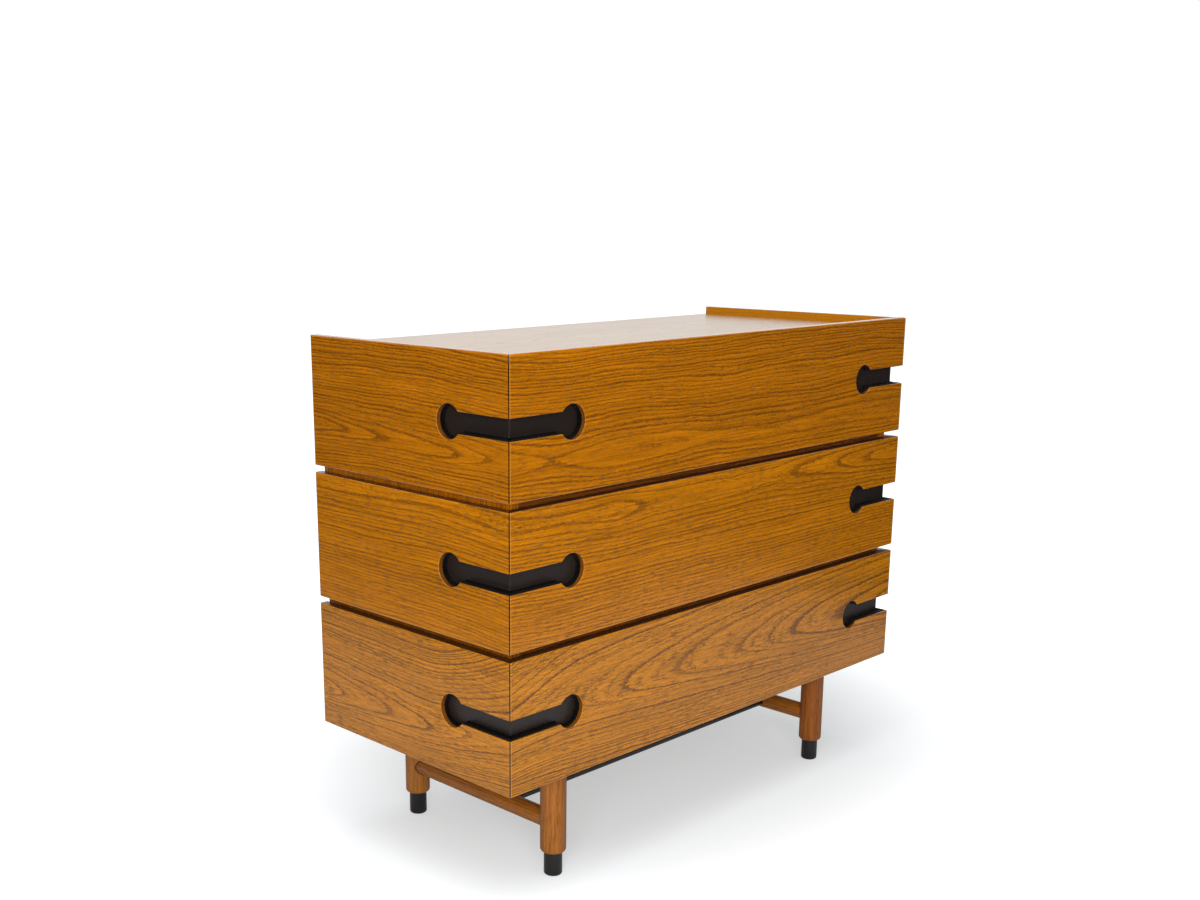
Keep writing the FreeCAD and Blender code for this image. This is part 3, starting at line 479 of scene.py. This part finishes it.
def makeVeneer(name, drawer, along, depth):
    material, tree, shader = newMaterial(name)
    onFront = name.endswith("FrontVeneer")
    low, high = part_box(drawer + "_drawer_front")
    top = high.z - low.z
    board, (u, v, w) = boardPosition(tree, along, (2, 1.0, -low.z), depth)
    figure = dict(leaves[drawer], Board=board)
    # the leaf's shade is painted light and shade for its drawer
    shade = figure.pop("shade")
    look = useGroup(tree, oakBoard, dict(figure, **woodColours(*veneer["tones"], shade)))
    finishSurface(tree, shader, look, veneer["bump"])
    # painted highlights along the lower edge and, on the front, along the arris beside the mitre
    fromCorner = calc(tree, "MINIMUM", calc(tree, "ABSOLUTE", u), apart(tree, u, rightFace - leftFace))
    paler = calc(tree, "MULTIPLY", lineMask(tree, v, veneer["lowerHighlightWidth"]), veneer["lowerHighlightShare"][drawer])
    if onFront:
        fromArris = calc(tree, "SUBTRACT", fromCorner, veneer["arrisPlace"])
        arris = calc(tree, "MULTIPLY", lineMask(tree, fromArris, veneer["arrisWidth"]), veneer["arrisShare"])
        paler = calc(tree, "MAXIMUM", paler, arris)
    colour = blendColour(tree, paler, look["Color"], veneer["paintedHighlight"])
    # the cut wood in the finger slots, with a painted highlight on the lip just behind the face
    inSlot = calc(tree, "MULTIPLY", ramp(tree, fromCorner, *veneer["slotReach"], 1.0, 0.0),
                  ramp(tree, apart(tree, v, top / 2), *veneer["slotHeight"], 1.0, 0.0))
    lip = lineMask(tree, calc(tree, "SUBTRACT", w, veneer["lipPlace"]), veneer["lipWidth"])
    lip = calc(tree, "MULTIPLY", calc(tree, "MULTIPLY", inSlot, lip), veneer["lipShare"])
    colour = blendColour(tree, lip, colour, veneer["paintedHighlight"])
    cut = calc(tree, "MULTIPLY", inSlot, ramp(tree, w, *veneer["cutDepth"]))
    colour = blendColour(tree, calc(tree, "MULTIPLY", cut, veneer["cutShare"]), colour, veneer["slotWall"])
    inner = ramp(tree, w, *veneer["innerDepth"], 0.0, veneer["innerShare"])
    colour = blendColour(tree, inner, colour, veneer["innerFace"])
    # the upper edge: lacquered on the top drawer; on the others painted shade, as the gap above keeps light
    # off it
    if drawer == "top":
        feed(tree, shader["Coat Weight"], ramp(tree, v, *[top - below for below in veneer["coatDepth"]]))
        shader["Coat Roughness"].default_value = veneer["coatRoughness"]
    else:
        upper = ramp(tree, v, *[top - below for below in veneer["edgeDepth"]])
        colour = blendColour(tree, upper, colour, veneer["paintedEdgeShade"])
        if onFront:
            feed(tree, shader["Roughness"],
                 calc(tree, "MULTIPLY_ADD", upper, veneer["edgeRoughness"], look["Roughness"]))
    # the mitre: a dark seam in the face, and painted shade on the cut faces inside the joint
    shadedCutFaces = lineMask(tree, calc(tree, "SUBTRACT", fromCorner, w), veneer["mitreWidth"])
    seam = calc(tree, "MAXIMUM", lineMask(tree, fromCorner, veneer["seamWidth"]), shadedCutFaces)
    feed(tree, shader["Base Color"], blendColour(tree, seam, colour, veneer["seamColour"]))
    shader["IOR"].default_value = veneer["gloss"]
    return material


for drawer in drawers:
    dress(drawer + "_drawer_front", makeVeneer(
        drawer + "FrontVeneer", drawer, (0, 1.0, -leftFace), (1, 1.0, -frontFace)))
    dress(drawer + "_drawer_side_panel_left", makeVeneer(
        drawer + "LeftVeneer", drawer, (1, -1.0, frontFace), (0, 1.0, -leftFace)))
    dress(drawer + "_drawer_side_panel_right", makeVeneer(
        drawer + "RightVeneer", drawer, (1, 1.0, rightFace - leftFace - frontFace), (0, -1.0, rightFace)))
print("veneer laid")


# the other woods

woodFinish = {
    "bump": 0.2,
    "gloss": 1.4,          # index of refraction
    "coatRoughness": 0.25,
    "hazeSpread": 0.12,    # of the roughness
    "plainRoughness": 0.5, # inside the carcass and the drawers
    "plainSeedStep": 2.3,  # from one board to the next
}


def makeWood(name, along, across, depth, figure, colours, roughness, coat=0.0):
    material, tree, shader = newMaterial(name)
    board = boardPosition(tree, along, across, depth)[0]
    look = useGroup(tree, oakBoard, dict(figure, Board=board, **colours))
    finishSurface(tree, shader, look, woodFinish["bump"])
    haze = useGroup(tree, surfaceHaze, {"Position": board, "Seed": figure["Seed"]})
    spread = woodFinish["hazeSpread"]
    feed(tree, shader["Roughness"], calc(tree, "MULTIPLY_ADD", haze["Slow"], spread, roughness - spread / 2))
    shader["IOR"].default_value = woodFinish["gloss"]
    shader["Coat Weight"].default_value = coat
    shader["Coat Roughness"].default_value = woodFinish["coatRoughness"]
    return material


topColours = woodColours((0.39, 0.208, 0.054), (0.175, 0.083, 0.018), (0.14, 0.07, 0.02))
topFigure = {"Seed": 12.2, "Heart Height": 0.02, "Tilt": 0.02, "Turn": -0.6, "Depth": 0.12, "Flare": 0.05,
             "Ring Width": 0.004, "Wander": 0.03, "Ripple": 0.006, "Ring Strength": 0.8, "Pore Strength": 0.6}
dress("tabletop", makeWood("topVeneer", (0, 1.0, 0.0), (1, 1.0, 0.0), (2, -1.0, cadHigh.z),
                           topFigure, topColours, roughness=0.33, coat=1.0))

turned = {  # legs and side stretchers
    "tones": ((0.33, 0.110, 0.012), (0.14, 0.042, 0.004), (0.075, 0.026, 0.005)),
    # painted shade on the front right leg and painted light on the rear left one, times their colours
    "legPaintedLight": {"leg_front_right": (0.80, 0.70, 0.60), "leg_rear_left": (1.05, 1.12, 1.35)},
    "roughness": 0.42,
    "legSeed": 20.0,
    "stretcherSeed": 33.0,
    "seedStep": 3.0,
}
turnedFigure = {"Heart Height": -0.02, "Tilt": 0.01, "Turn": 0.1, "Depth": 0.05, "Flare": 0.02,
                "Ring Width": 0.0042, "Wander": 0.012, "Ripple": 0.002, "Ring Strength": 0.45,
                "Pore Strength": 0.55}
stretcherJoint = {"radius": 0.0153, "width": 0.0013, "blend": 0.002, "colour": (0.035, 0.013, 0.005, 1)}


def markJoint(material, leg, stretcher):
    # the dark ring round the place where the stretcher enters the leg, on the leg's inner side
    tree = material.node_tree
    legLow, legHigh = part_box(leg)
    low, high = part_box(stretcher)
    split = axesOf(tree, objectPlace(tree))
    x = calc(tree, "SUBTRACT", split["X"], (low.x + high.x) / 2)
    z = calc(tree, "SUBTRACT", split["Z"], (low.z + high.z) / 2)
    fromAxis = calc(tree, "SQRT", calc(tree, "MULTIPLY_ADD", x, x, calc(tree, "MULTIPLY", z, z)))
    fromRing = calc(tree, "SUBTRACT", fromAxis, stretcherJoint["radius"])
    legMiddle = abs(legLow.y + legHigh.y) / 2
    innerSide = ramp(tree, calc(tree, "ABSOLUTE", split["Y"]), legMiddle - stretcherJoint["blend"], legMiddle,
                     1.0, 0.0)
    ring = calc(tree, "MULTIPLY", lineMask(tree, fromRing, stretcherJoint["width"]), innerSide)
    layOver(material, ring, stretcherJoint["colour"])


for index, leg in enumerate(("leg_front_left", "leg_front_right", "leg_rear_left", "leg_rear_right")):
    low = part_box(leg)[0]
    figure = dict(turnedFigure, Seed=turned["legSeed"] + turned["seedStep"] * index)
    colours = woodColours(*turned["tones"], turned["legPaintedLight"].get(leg, (1, 1, 1)))
    oak = makeWood(leg + "Oak", (2, 1.0, 0.0), (0, 1.0, -low.x), (1, 1.0, -low.y), figure, colours,
                   turned["roughness"])
    markJoint(oak, leg, "side_stretcher_" + leg.split("_")[2])
    dress(leg, oak)
for index, side in enumerate(sides):
    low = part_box("side_stretcher_" + side)[0]
    figure = dict(turnedFigure, Seed=turned["stretcherSeed"] + turned["seedStep"] * index)
    dress("side_stretcher_" + side, makeWood(
        side + "StretcherOak", (1, 1.0, 0.0), (2, 1.0, -low.z), (0, 1.0, -low.x), figure,
        woodColours(*turned["tones"]), turned["roughness"]))

carcassColours = woodColours((0.50, 0.210, 0.040), (0.14, 0.050, 0.014), (0.09, 0.036, 0.012))
carcassFigure = {"Tilt": 0.0, "Turn": 0.0, "Depth": 0.07, "Flare": 0.03, "Ring Width": 0.004, "Wander": 0.02,
                 "Ripple": 0.004, "Ring Strength": 0.9, "Pore Strength": 0.6}
# the rails get darker colours than the other carcass wood: painted shade for the gaps between the drawers,
# where they are seen
shadedRailColours = woodColours((0.24, 0.066, 0.004), (0.10, 0.026, 0.002), (0.05, 0.016, 0.003))
beechColours = woodColours((0.56, 0.36, 0.20), (0.47, 0.27, 0.14), (0.30, 0.16, 0.08))
beechFigure = {"Tilt": 0.0, "Turn": 0.1, "Depth": 0.09, "Flare": 0.05, "Ring Width": 0.006, "Wander": 0.03,
               "Ripple": 0.003, "Ring Strength": 0.4, "Pore Strength": 0.35}
plyColours = woodColours((0.60, 0.42, 0.25), (0.50, 0.32, 0.17), (0.34, 0.20, 0.10))
backColours = woodColours((0.54, 0.29, 0.10), (0.34, 0.15, 0.045), (0.22, 0.10, 0.035))
backFigure = dict(beechFigure, **{"Ring Width": 0.009, "Ring Strength": 0.6})
onEdge = ((0, 1.0, 0.0), (2, 1.0, 0.0), (1, 1.0, 0.0))  # grain along x, boards on edge
lyingFlat = ((0, 1.0, 0.0), (1, 1.0, 0.0), (2, 1.0, 0.0))  # grain along x, boards lying flat
upright = ((2, 1.0, 0.0), (1, 1.0, 0.0), (0, 1.0, 0.0))
frontToBack = ((1, 1.0, 0.0), (2, 1.0, 0.0), (0, 1.0, 0.0))


def dressWood(names, lay, figure, colours, firstSeed, heart):
    for index, name in enumerate(names):
        seed = firstSeed + woodFinish["plainSeedStep"] * index
        values = dict(figure, Seed=seed, **{"Heart Height": heart})
        dress(name, makeWood(name + "Wood", *lay, values, colours, woodFinish["plainRoughness"]))


dressWood(["carcass_side_" + side for side in sides], upright, carcassFigure, carcassColours,
          firstSeed=41.0, heart=0.3)
# painted light and shade on the carcass sides where the gaps leave them open: a darker strip in the lower
# gap, a lighter, more orange one in the upper gap
gapPaintedLight = {"bottom": (0.64, 0.45, 0.015, 1), "middle": (1.28, 0.905, 0.03, 1)}  # by the drawer under the gap
gapPaintedReach = {"past": 0.007, "blend": 0.004}  # how far the open strip goes on above and below the gap


def paintLightInGaps(side):
    material = bpy.data.materials[f"carcass_side_{side}Wood"]
    tree = material.node_tree
    height = axesOf(tree, objectPlace(tree))["Z"]
    tint = (1, 1, 1, 1)
    for below, above in zip(drawers, drawers[1:]):
        gapLow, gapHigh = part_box(below + "_drawer_front")[1].z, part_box(above + "_drawer_front")[0].z
        reach = (gapHigh - gapLow) / 2 + gapPaintedReach["past"]
        strip = ramp(tree, apart(tree, height, (gapLow + gapHigh) / 2), reach, reach + gapPaintedReach["blend"],
                     1.0, 0.0)
        tint = blendColour(tree, strip, tint, gapPaintedLight[below])
    layOver(material, 1.0, tint, "MULTIPLY")


for side in sides:
    paintLightInGaps(side)
dressWood(["bottom_board"], lyingFlat, carcassFigure, carcassColours, firstSeed=47.0, heart=-0.1)
dressWood([f"{end}_rail_{level}" for end in ("front", "rear") for level in ("lower", "upper")],
          lyingFlat, carcassFigure, shadedRailColours, firstSeed=49.0, heart=-0.1)
dressWood([f"runner_{level}_{side}" for level in ("lower", "upper") for side in sides] + ["drawer_stops"],
          frontToBack, carcassFigure, carcassColours, firstSeed=55.0, heart=0.2)
dressWood([f"{drawer}_drawer_box_{end}" for drawer in drawers for end in ("front", "back")],
          onEdge, beechFigure, beechColours, firstSeed=61.0, heart=0.4)
dressWood([f"{drawer}_drawer_box_side_{side}" for drawer in drawers for side in sides],
          frontToBack, beechFigure, beechColours, firstSeed=72.0, heart=0.4)
dressWood([f"{drawer}_drawer_box_bottom" for drawer in drawers],
          lyingFlat, beechFigure, plyColours, firstSeed=83.0, heart=0.0)
dressWood(["back_panel"], onEdge, backFigure, backColours, firstSeed=91.0, heart=0.5)
print("solid woods done")


# steel

steelFinish = {
    "seed": 2.0,
    "mottle": 0.25,         # how far the colour goes up and down
    "haze": 0.1,            # and the roughness
    "bump": 0.12,
    "bumpDistance": 0.0002,
}


def makeSteel(name, colour, roughness, metallic=0.0):
    material, tree, shader = newMaterial(name)
    mottle, haze = steelFinish["mottle"], steelFinish["haze"]
    marks = useGroup(tree, surfaceHaze, {"Position": objectPlace(tree), "Seed": steelFinish["seed"]})
    shade = grey(tree, calc(tree, "MULTIPLY_ADD", marks["Slow"], 2 * mottle, 1.0 - mottle))
    feed(tree, shader["Base Color"], blendColour(tree, 1.0, colour, shade, "MULTIPLY"))
    shader["Metallic"].default_value = metallic
    rough = calc(tree, "MULTIPLY_ADD", marks["Slow"], haze, roughness - haze / 2)
    feed(tree, shader["Roughness"], calc(tree, "MULTIPLY_ADD", marks["Fine"], haze, rough))
    feed(tree, shader["Normal"], put(tree, "Bump", sockets={
        "Strength": steelFinish["bump"], "Distance": steelFinish["bumpDistance"],
        "Height": marks["Fine"]}).outputs[0])
    return material


plateSteel = makeSteel("darkPlate", (0.019, 0.013, 0.011, 1), roughness=0.38)
liningSteel = makeSteel("liningSteel", (0.003, 0.0024, 0.002, 1), roughness=0.85)
blackSteel = makeSteel("blackSteel", (0.006, 0.005, 0.0045, 1), roughness=0.26)
brightSteel = makeSteel("brightSteel", (0.62, 0.61, 0.60, 1), roughness=0.3, metallic=1.0)
for drawer in drawers:
    for side in sides:
        dress(f"{drawer}_drawer_corner_plate_{side}", plateSteel)
    dress(drawer + "_drawer_plate_screws", brightSteel)
for name in ("feet", "crossbar_front", "crossbar_rear", "leg_plates", "leg_bolts"):
    dress(name, blackSteel)
for name in ("back_panel_screws", "leg_plate_screws"):
    dress(name, brightSteel)
print("steel done")


# steel linings of the finger slots, from just behind the wood's face down to the plates

lining = {
    "slotHalfHeight": 0.016,
    "roundRadius": 0.026,
    "roundCentre": 0.126,     # from the drawer's corner to the middle of the round end
    "plateDepth": 0.015,      # from the wood's face to the plate
    "rimOnStraight": 0.0036,  # how far the steel's edge stays behind the wood's face
    "rimOnRound": 0.0076,
    "rimBlend": 45,           # degrees of the round end over which the rim goes down
    "clearance": 0.00005,
    "thickness": 0.0009,
    "fillet": 0.0018,
    "edgeInset": 0.15,        # rounding of the steel's edge, as a share of its thickness
    "edgeDrop": 0.00015,      # and its depth
    "straightSteps": 10,
    "neckSteps": 7,
    "roundSteps": 56,
    "filletSteps": 9,
    "sharpAngle": 40,         # degrees; a sharper fold shows as an edge
}


def closedPiece(name, points, material, body, flip):
    # points[i, j] is the surface at step i along the path and step j round the profile; quads join
    # neighbours, and the last step joins the first both ways
    along, around = points.shape[:2]
    i, j = np.arange(along)[:, None], np.arange(around)[None, :]
    nextI, nextJ = (i + 1) % along, (j + 1) % around
    corners = ((i, j), (nextI, j), (nextI, nextJ), (i, nextJ))
    quads = np.stack([a * around + b for a, b in corners], -1).reshape(-1, 4)
    if flip:
        quads = quads[:, ::-1]
    mesh = bpy.data.meshes.new(name)
    mesh.from_pydata(points.reshape(-1, 3).tolist(), [], quads.tolist())
    mesh.polygons.foreach_set("use_smooth", np.ones(len(quads), bool))
    mesh.set_sharp_from_angle(angle=math.radians(lining["sharpAngle"]))
    mesh.materials.append(material)
    piece = bpy.data.objects.new(name, mesh)
    bpy.context.scene.collection.objects.link(piece)
    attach(piece, body)


def slotPath():
    # one face's half of the outline, from the corner out along the top, round the end and back below:
    # along and height of each step, its inward direction, and how much it belongs to the round end
    half, radius, centre = lining["slotHalfHeight"], lining["roundRadius"], lining["roundCentre"]
    neckAngle = math.pi - math.asin(half / radius)
    neck = centre + radius * math.cos(neckAngle)
    run = np.linspace(0, 1, lining["straightSteps"])
    top = np.stack((neck * run, half + 0 * run, 0 * run, -1 + 0 * run, 0 * run), 1)
    turn = np.linspace(-math.pi / 2, neckAngle - math.pi, lining["neckSteps"])[1:-1]
    fan = np.stack((neck + 0 * turn, half + 0 * turn, np.cos(turn), np.sin(turn), 0 * turn), 1)
    angle = np.linspace(neckAngle, -neckAngle, lining["roundSteps"])
    cosine, sine = np.cos(angle), np.sin(angle)
    ease = np.clip((neckAngle - np.abs(angle)) / math.radians(lining["rimBlend"]), 0, 1)
    ease = ease * ease * (3 - 2 * ease)
    bow = np.stack((centre + radius * cosine, radius * sine, -cosine, -sine, ease), 1)
    below = np.concatenate((top, fan))[::-1] * (1, -1, 1, -1, 1)
    return np.concatenate((top, fan, bow, below))


def liningProfile():
    # how far each step stands off the slot's wooden wall and, from the fillet on, off the plate: over the
    # rim, down the steel's inner face, round the fillet on to the plate, and back under
    thick, fillet, clear = lining["thickness"], lining["fillet"], lining["clearance"]
    arc = np.linspace(0, math.pi / 2, lining["filletSteps"])
    edge = lining["edgeInset"] * thick
    inset = np.concatenate(([clear, clear + edge, thick - edge, thick],
                            thick + fillet * (1 - np.cos(arc)), [clear]))
    fromPlate = np.append(fillet * (1 - np.sin(arc)), 0.0)
    return inset, fromPlate


def makeLining(drawer, side):
    # the profile carried along the slot's outline on the front, then back along it on the side: a point
    # is outline + inward direction * inset, at its depth behind the face, and at the mitre the way along
    # equals the depth, so the two halves meet there
    low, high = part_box(drawer + "_drawer_front")
    middle = (low.z + high.z) / 2
    path = slotPath()
    inset, fromPlate = liningProfile()
    rim = lining["rimOnStraight"] + path[:, 4] * (lining["rimOnRound"] - lining["rimOnStraight"])
    plate = lining["plateDepth"] - lining["clearance"]
    depth = np.empty((len(path), len(inset)))
    depth[:, 0], depth[:, 3] = rim + lining["edgeDrop"], rim + lining["edgeDrop"]
    depth[:, 1], depth[:, 2] = rim, rim
    depth[:, 4:] = plate - fromPlate[None, :]
    along = path[:, 0, None] + path[:, 2, None] * inset[None, :]
    height = middle + path[:, 1, None] + path[:, 3, None] * inset[None, :]
    along[0], along[-1] = depth[0], depth[-1]
    front = np.stack((sides[side] * (rightFace - along), frontFace + depth, height), -1)
    flank = np.stack((sides[side] * (rightFace - depth), frontFace + along, height), -1)[::-1]
    # the left one is a mirror image, so its quads are turned round to face outwards
    closedPiece(f"{drawer}_slot_lining_{side}", np.concatenate((front, flank[1:-1])), liningSteel,
                drawer + "_drawer", flip=side == "left")


for drawer in drawers:
    for side in sides:
        makeLining(drawer, side)
print("slot linings bent")


# floor, world, lamps and camera

stageSetup = {
    "floorRings": (0.5, 2.0, 5.0, 14.0),
    "floorSteps": 96,
    "floorColour": (0.55, 0.558, 0.57, 1),
    "nearGlow": 0.43,        # what the floor adds of its own for the eye near the chest; less than far off, it paints a shadow round the chest
    "farGlow": 0.96,         # and far off
    "glossGlow": 0.27,       # the share of it that reflections see
    "glowColour": (0.965, 1.0, 1.012, 1),  # evens out the warm light thrown down by the wood
    # the glow is weakest round this centre and stretched so, a painted shadow under the chest and behind it
    # to the right
    "shadowCentre": (0.15, 0.1, 0.0),
    "shadowStretch": (0.8, 1.0, 1.0),
    "glowReach": (0.35, 0.95),
    "sweepHalfWidth": 1.28,  # reflections see a roll of white paper this wide, laid front to back
    "sweepFront": -1.24,     # and this far forward
    "sweepEdge": 0.06,
    "ambient": 0.36,         # what the world throws on the object
    "studioDark": 0.008,
    "backdropWhite": 0.92,
    "backdropTowards": (0.66, 0.68, 0.35),
    "backdropEdge": (0.3, 0.6),
    "stripStrength": 3.0,    # a narrow soft light on the key's side, seen only in gloss
    "stripTowards": (-0.735, -0.672, 0.09),
    "stripEdge": (0.97, 0.99),
}


def floorMesh():
    # a flat ring of quads: (r cos a, r sin a, 0), closed at the middle
    steps, radii = stageSetup["floorSteps"], stageSetup["floorRings"]
    angles = np.linspace(0, 2 * math.pi, steps, endpoint=False)
    circle = np.stack((np.cos(angles), np.sin(angles), 0 * angles), 1)
    points = np.concatenate([np.zeros((1, 3))] + [circle * radius for radius in radii])
    here, after = np.arange(steps), (np.arange(steps) + 1) % steps
    faces = np.stack((0 * here, here + 1, after + 1), 1).tolist()
    for level in range(len(radii) - 1):
        inner, outer = 1 + level * steps, 1 + (level + 1) * steps
        faces += np.stack((inner + here, outer + here, outer + after, inner + after), 1).tolist()
    mesh = bpy.data.meshes.new("studioFloor")
    mesh.from_pydata(points.tolist(), [], faces)
    return mesh


def floorMaterial():
    # matt, with a glow for the eye that is weaker round the chest, painting part of its shadow; gloss sees it
    # only as far as the sweep
    material, tree = newMaterial("paleFloor")[:2]
    tree.nodes.remove(tree.nodes["Principled BSDF"])
    place = objectPlace(tree)
    fromShadow = vectorCalc(tree, "SUBTRACT", place, stageSetup["shadowCentre"])
    fromShadow = vectorCalc(tree, "MULTIPLY", fromShadow, stageSetup["shadowStretch"])
    distance = put(tree, "VectorMath", {"operation": "LENGTH"}, {0: fromShadow}).outputs["Value"]
    path = put(tree, "LightPath").outputs
    reflected = calc(tree, "MAXIMUM", path["Is Glossy Ray"], path["Is Transmission Ray"])
    reflected = calc(tree, "MULTIPLY", reflected, stageSetup["glossGlow"])
    seen = calc(tree, "MAXIMUM", path["Is Camera Ray"], reflected)
    glow = ramp(tree, distance, *stageSetup["glowReach"], stageSetup["nearGlow"], stageSetup["farGlow"])
    glow = calc(tree, "MULTIPLY", seen, glow)
    matt = put(tree, "BsdfDiffuse", sockets={"Color": stageSetup["floorColour"]}).outputs[0]
    light = put(tree, "Emission", sockets={"Color": stageSetup["glowColour"], "Strength": glow}).outputs[0]
    both = put(tree, "AddShader", sockets={0: matt, 1: light}).outputs[0]
    dark = put(tree, "Emission", sockets={"Strength": stageSetup["studioDark"]}).outputs[0]
    spot = axesOf(tree, place)
    half, front, edge = stageSetup["sweepHalfWidth"], stageSetup["sweepFront"], stageSetup["sweepEdge"]
    past = calc(tree, "MAXIMUM", ramp(tree, calc(tree, "ABSOLUTE", spot["X"]), half, half + edge),
                ramp(tree, spot["Y"], front, front - edge))
    past = calc(tree, "MULTIPLY", past, path["Is Glossy Ray"])
    mix = put(tree, "MixShader", sockets={0: past, 1: both, 2: dark})
    feed(tree, tree.nodes["Material Output"].inputs["Surface"], mix.outputs[0])
    return material


def makeFloor():
    mesh = floorMesh()
    mesh.materials.append(floorMaterial())
    floor = bpy.data.objects.new("studioFloor", mesh)
    bpy.context.scene.collection.objects.link(floor)
    floor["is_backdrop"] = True


def makeWorld():
    # white for the eye; for gloss, white towards the backdrop and overhead, dark where the viewer stands,
    # with the strip on the key's side
    world = bpy.data.worlds.new("studioWorld")
    bpy.context.scene.world = world
    world.use_nodes = True
    tree = world.node_tree
    path = put(tree, "LightPath").outputs
    direction = put(tree, "TexCoord").outputs["Generated"]
    towards = vectorCalc(tree, "DOT_PRODUCT", direction, stageSetup["backdropTowards"])
    backdrop = ramp(tree, towards, *stageSetup["backdropEdge"], stageSetup["studioDark"],
                    stageSetup["backdropWhite"])
    keySide = vectorCalc(tree, "DOT_PRODUCT", direction, stageSetup["stripTowards"])
    strip = ramp(tree, keySide, *stageSetup["stripEdge"], 0.0, stageSetup["stripStrength"])
    backdrop = calc(tree, "MAXIMUM", backdrop, strip)
    reflected = calc(tree, "MAXIMUM", path["Is Glossy Ray"], path["Is Transmission Ray"])
    strength = blendValue(tree, reflected, stageSetup["ambient"], backdrop)
    strength = blendValue(tree, path["Is Camera Ray"], strength, 1.0)
    feed(tree, tree.nodes["Background"].inputs["Strength"], strength)
    tree.nodes["Background"].inputs["Color"].default_value = (1, 1, 1, 1)


lamps = {  # place, what it points at, edge length and watts
    "keyLamp": {"place": (-2.4, -2.2, 1.2), "aim": (0.0, 0.0, 0.5), "size": 1.9, "watts": 85,
                "inGloss": False},
    "topLamp": {"place": (-0.4, -0.3, 3.0), "aim": (0.0, 0.0, 0.4), "size": 2.4, "watts": 60,
                "inGloss": True},
}


def makeLamps():
    for name, lamp in lamps.items():
        light = bpy.data.lights.new(name, "AREA")
        light.shape = "SQUARE"
        light.size = lamp["size"]
        light.energy = lamp["watts"]
        thing = bpy.data.objects.new(name, light)
        bpy.context.scene.collection.objects.link(thing)
        place = np.array(lamp["place"])
        back = place - np.array(lamp["aim"])
        back = back / np.linalg.norm(back)
        right = np.cross((0, 0, 1), back)
        right = right / np.linalg.norm(right)
        pose = np.eye(4)
        pose[:3, :4] = np.stack((right, np.cross(back, right), back, place), 1)
        thing.matrix_world = Matrix(pose.tolist())
        thing.visible_camera = False
        thing.visible_glossy = lamp["inGloss"]


cameraSetup = {
    "place": (-1.7996, -1.5964, 1.0129),
    "yaw": 44.194,      # degrees from +Y towards +X
    "pitch": -14.174,
    "roll": -0.04,
    "lens": 41.94,
    "sensorWidth": 36.0,
    "shift": (0.0615, 0.0988),
    "farClip": 60.0,
}


def makeCamera():
    data = bpy.data.cameras.new("viewCamera")
    data.sensor_width = cameraSetup["sensorWidth"]
    data.lens = cameraSetup["lens"]
    data.shift_x, data.shift_y = cameraSetup["shift"]
    data.clip_end = cameraSetup["farClip"]
    camera = bpy.data.objects.new("viewCamera", data)
    bpy.context.scene.collection.objects.link(camera)
    camera.matrix_world = (Matrix.Translation(cameraSetup["place"])
                           @ Matrix.Rotation(-math.radians(cameraSetup["yaw"]), 4, "Z")
                           @ Matrix.Rotation(math.radians(90 + cameraSetup["pitch"]), 4, "X")
                           @ Matrix.Rotation(math.radians(cameraSetup["roll"]), 4, "Z"))
    bpy.context.scene.camera = camera


makeFloor()
makeWorld()
makeLamps()
makeCamera()
bpy.context.scene.view_settings.view_transform = "Standard"
print("stage set")

low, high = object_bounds()
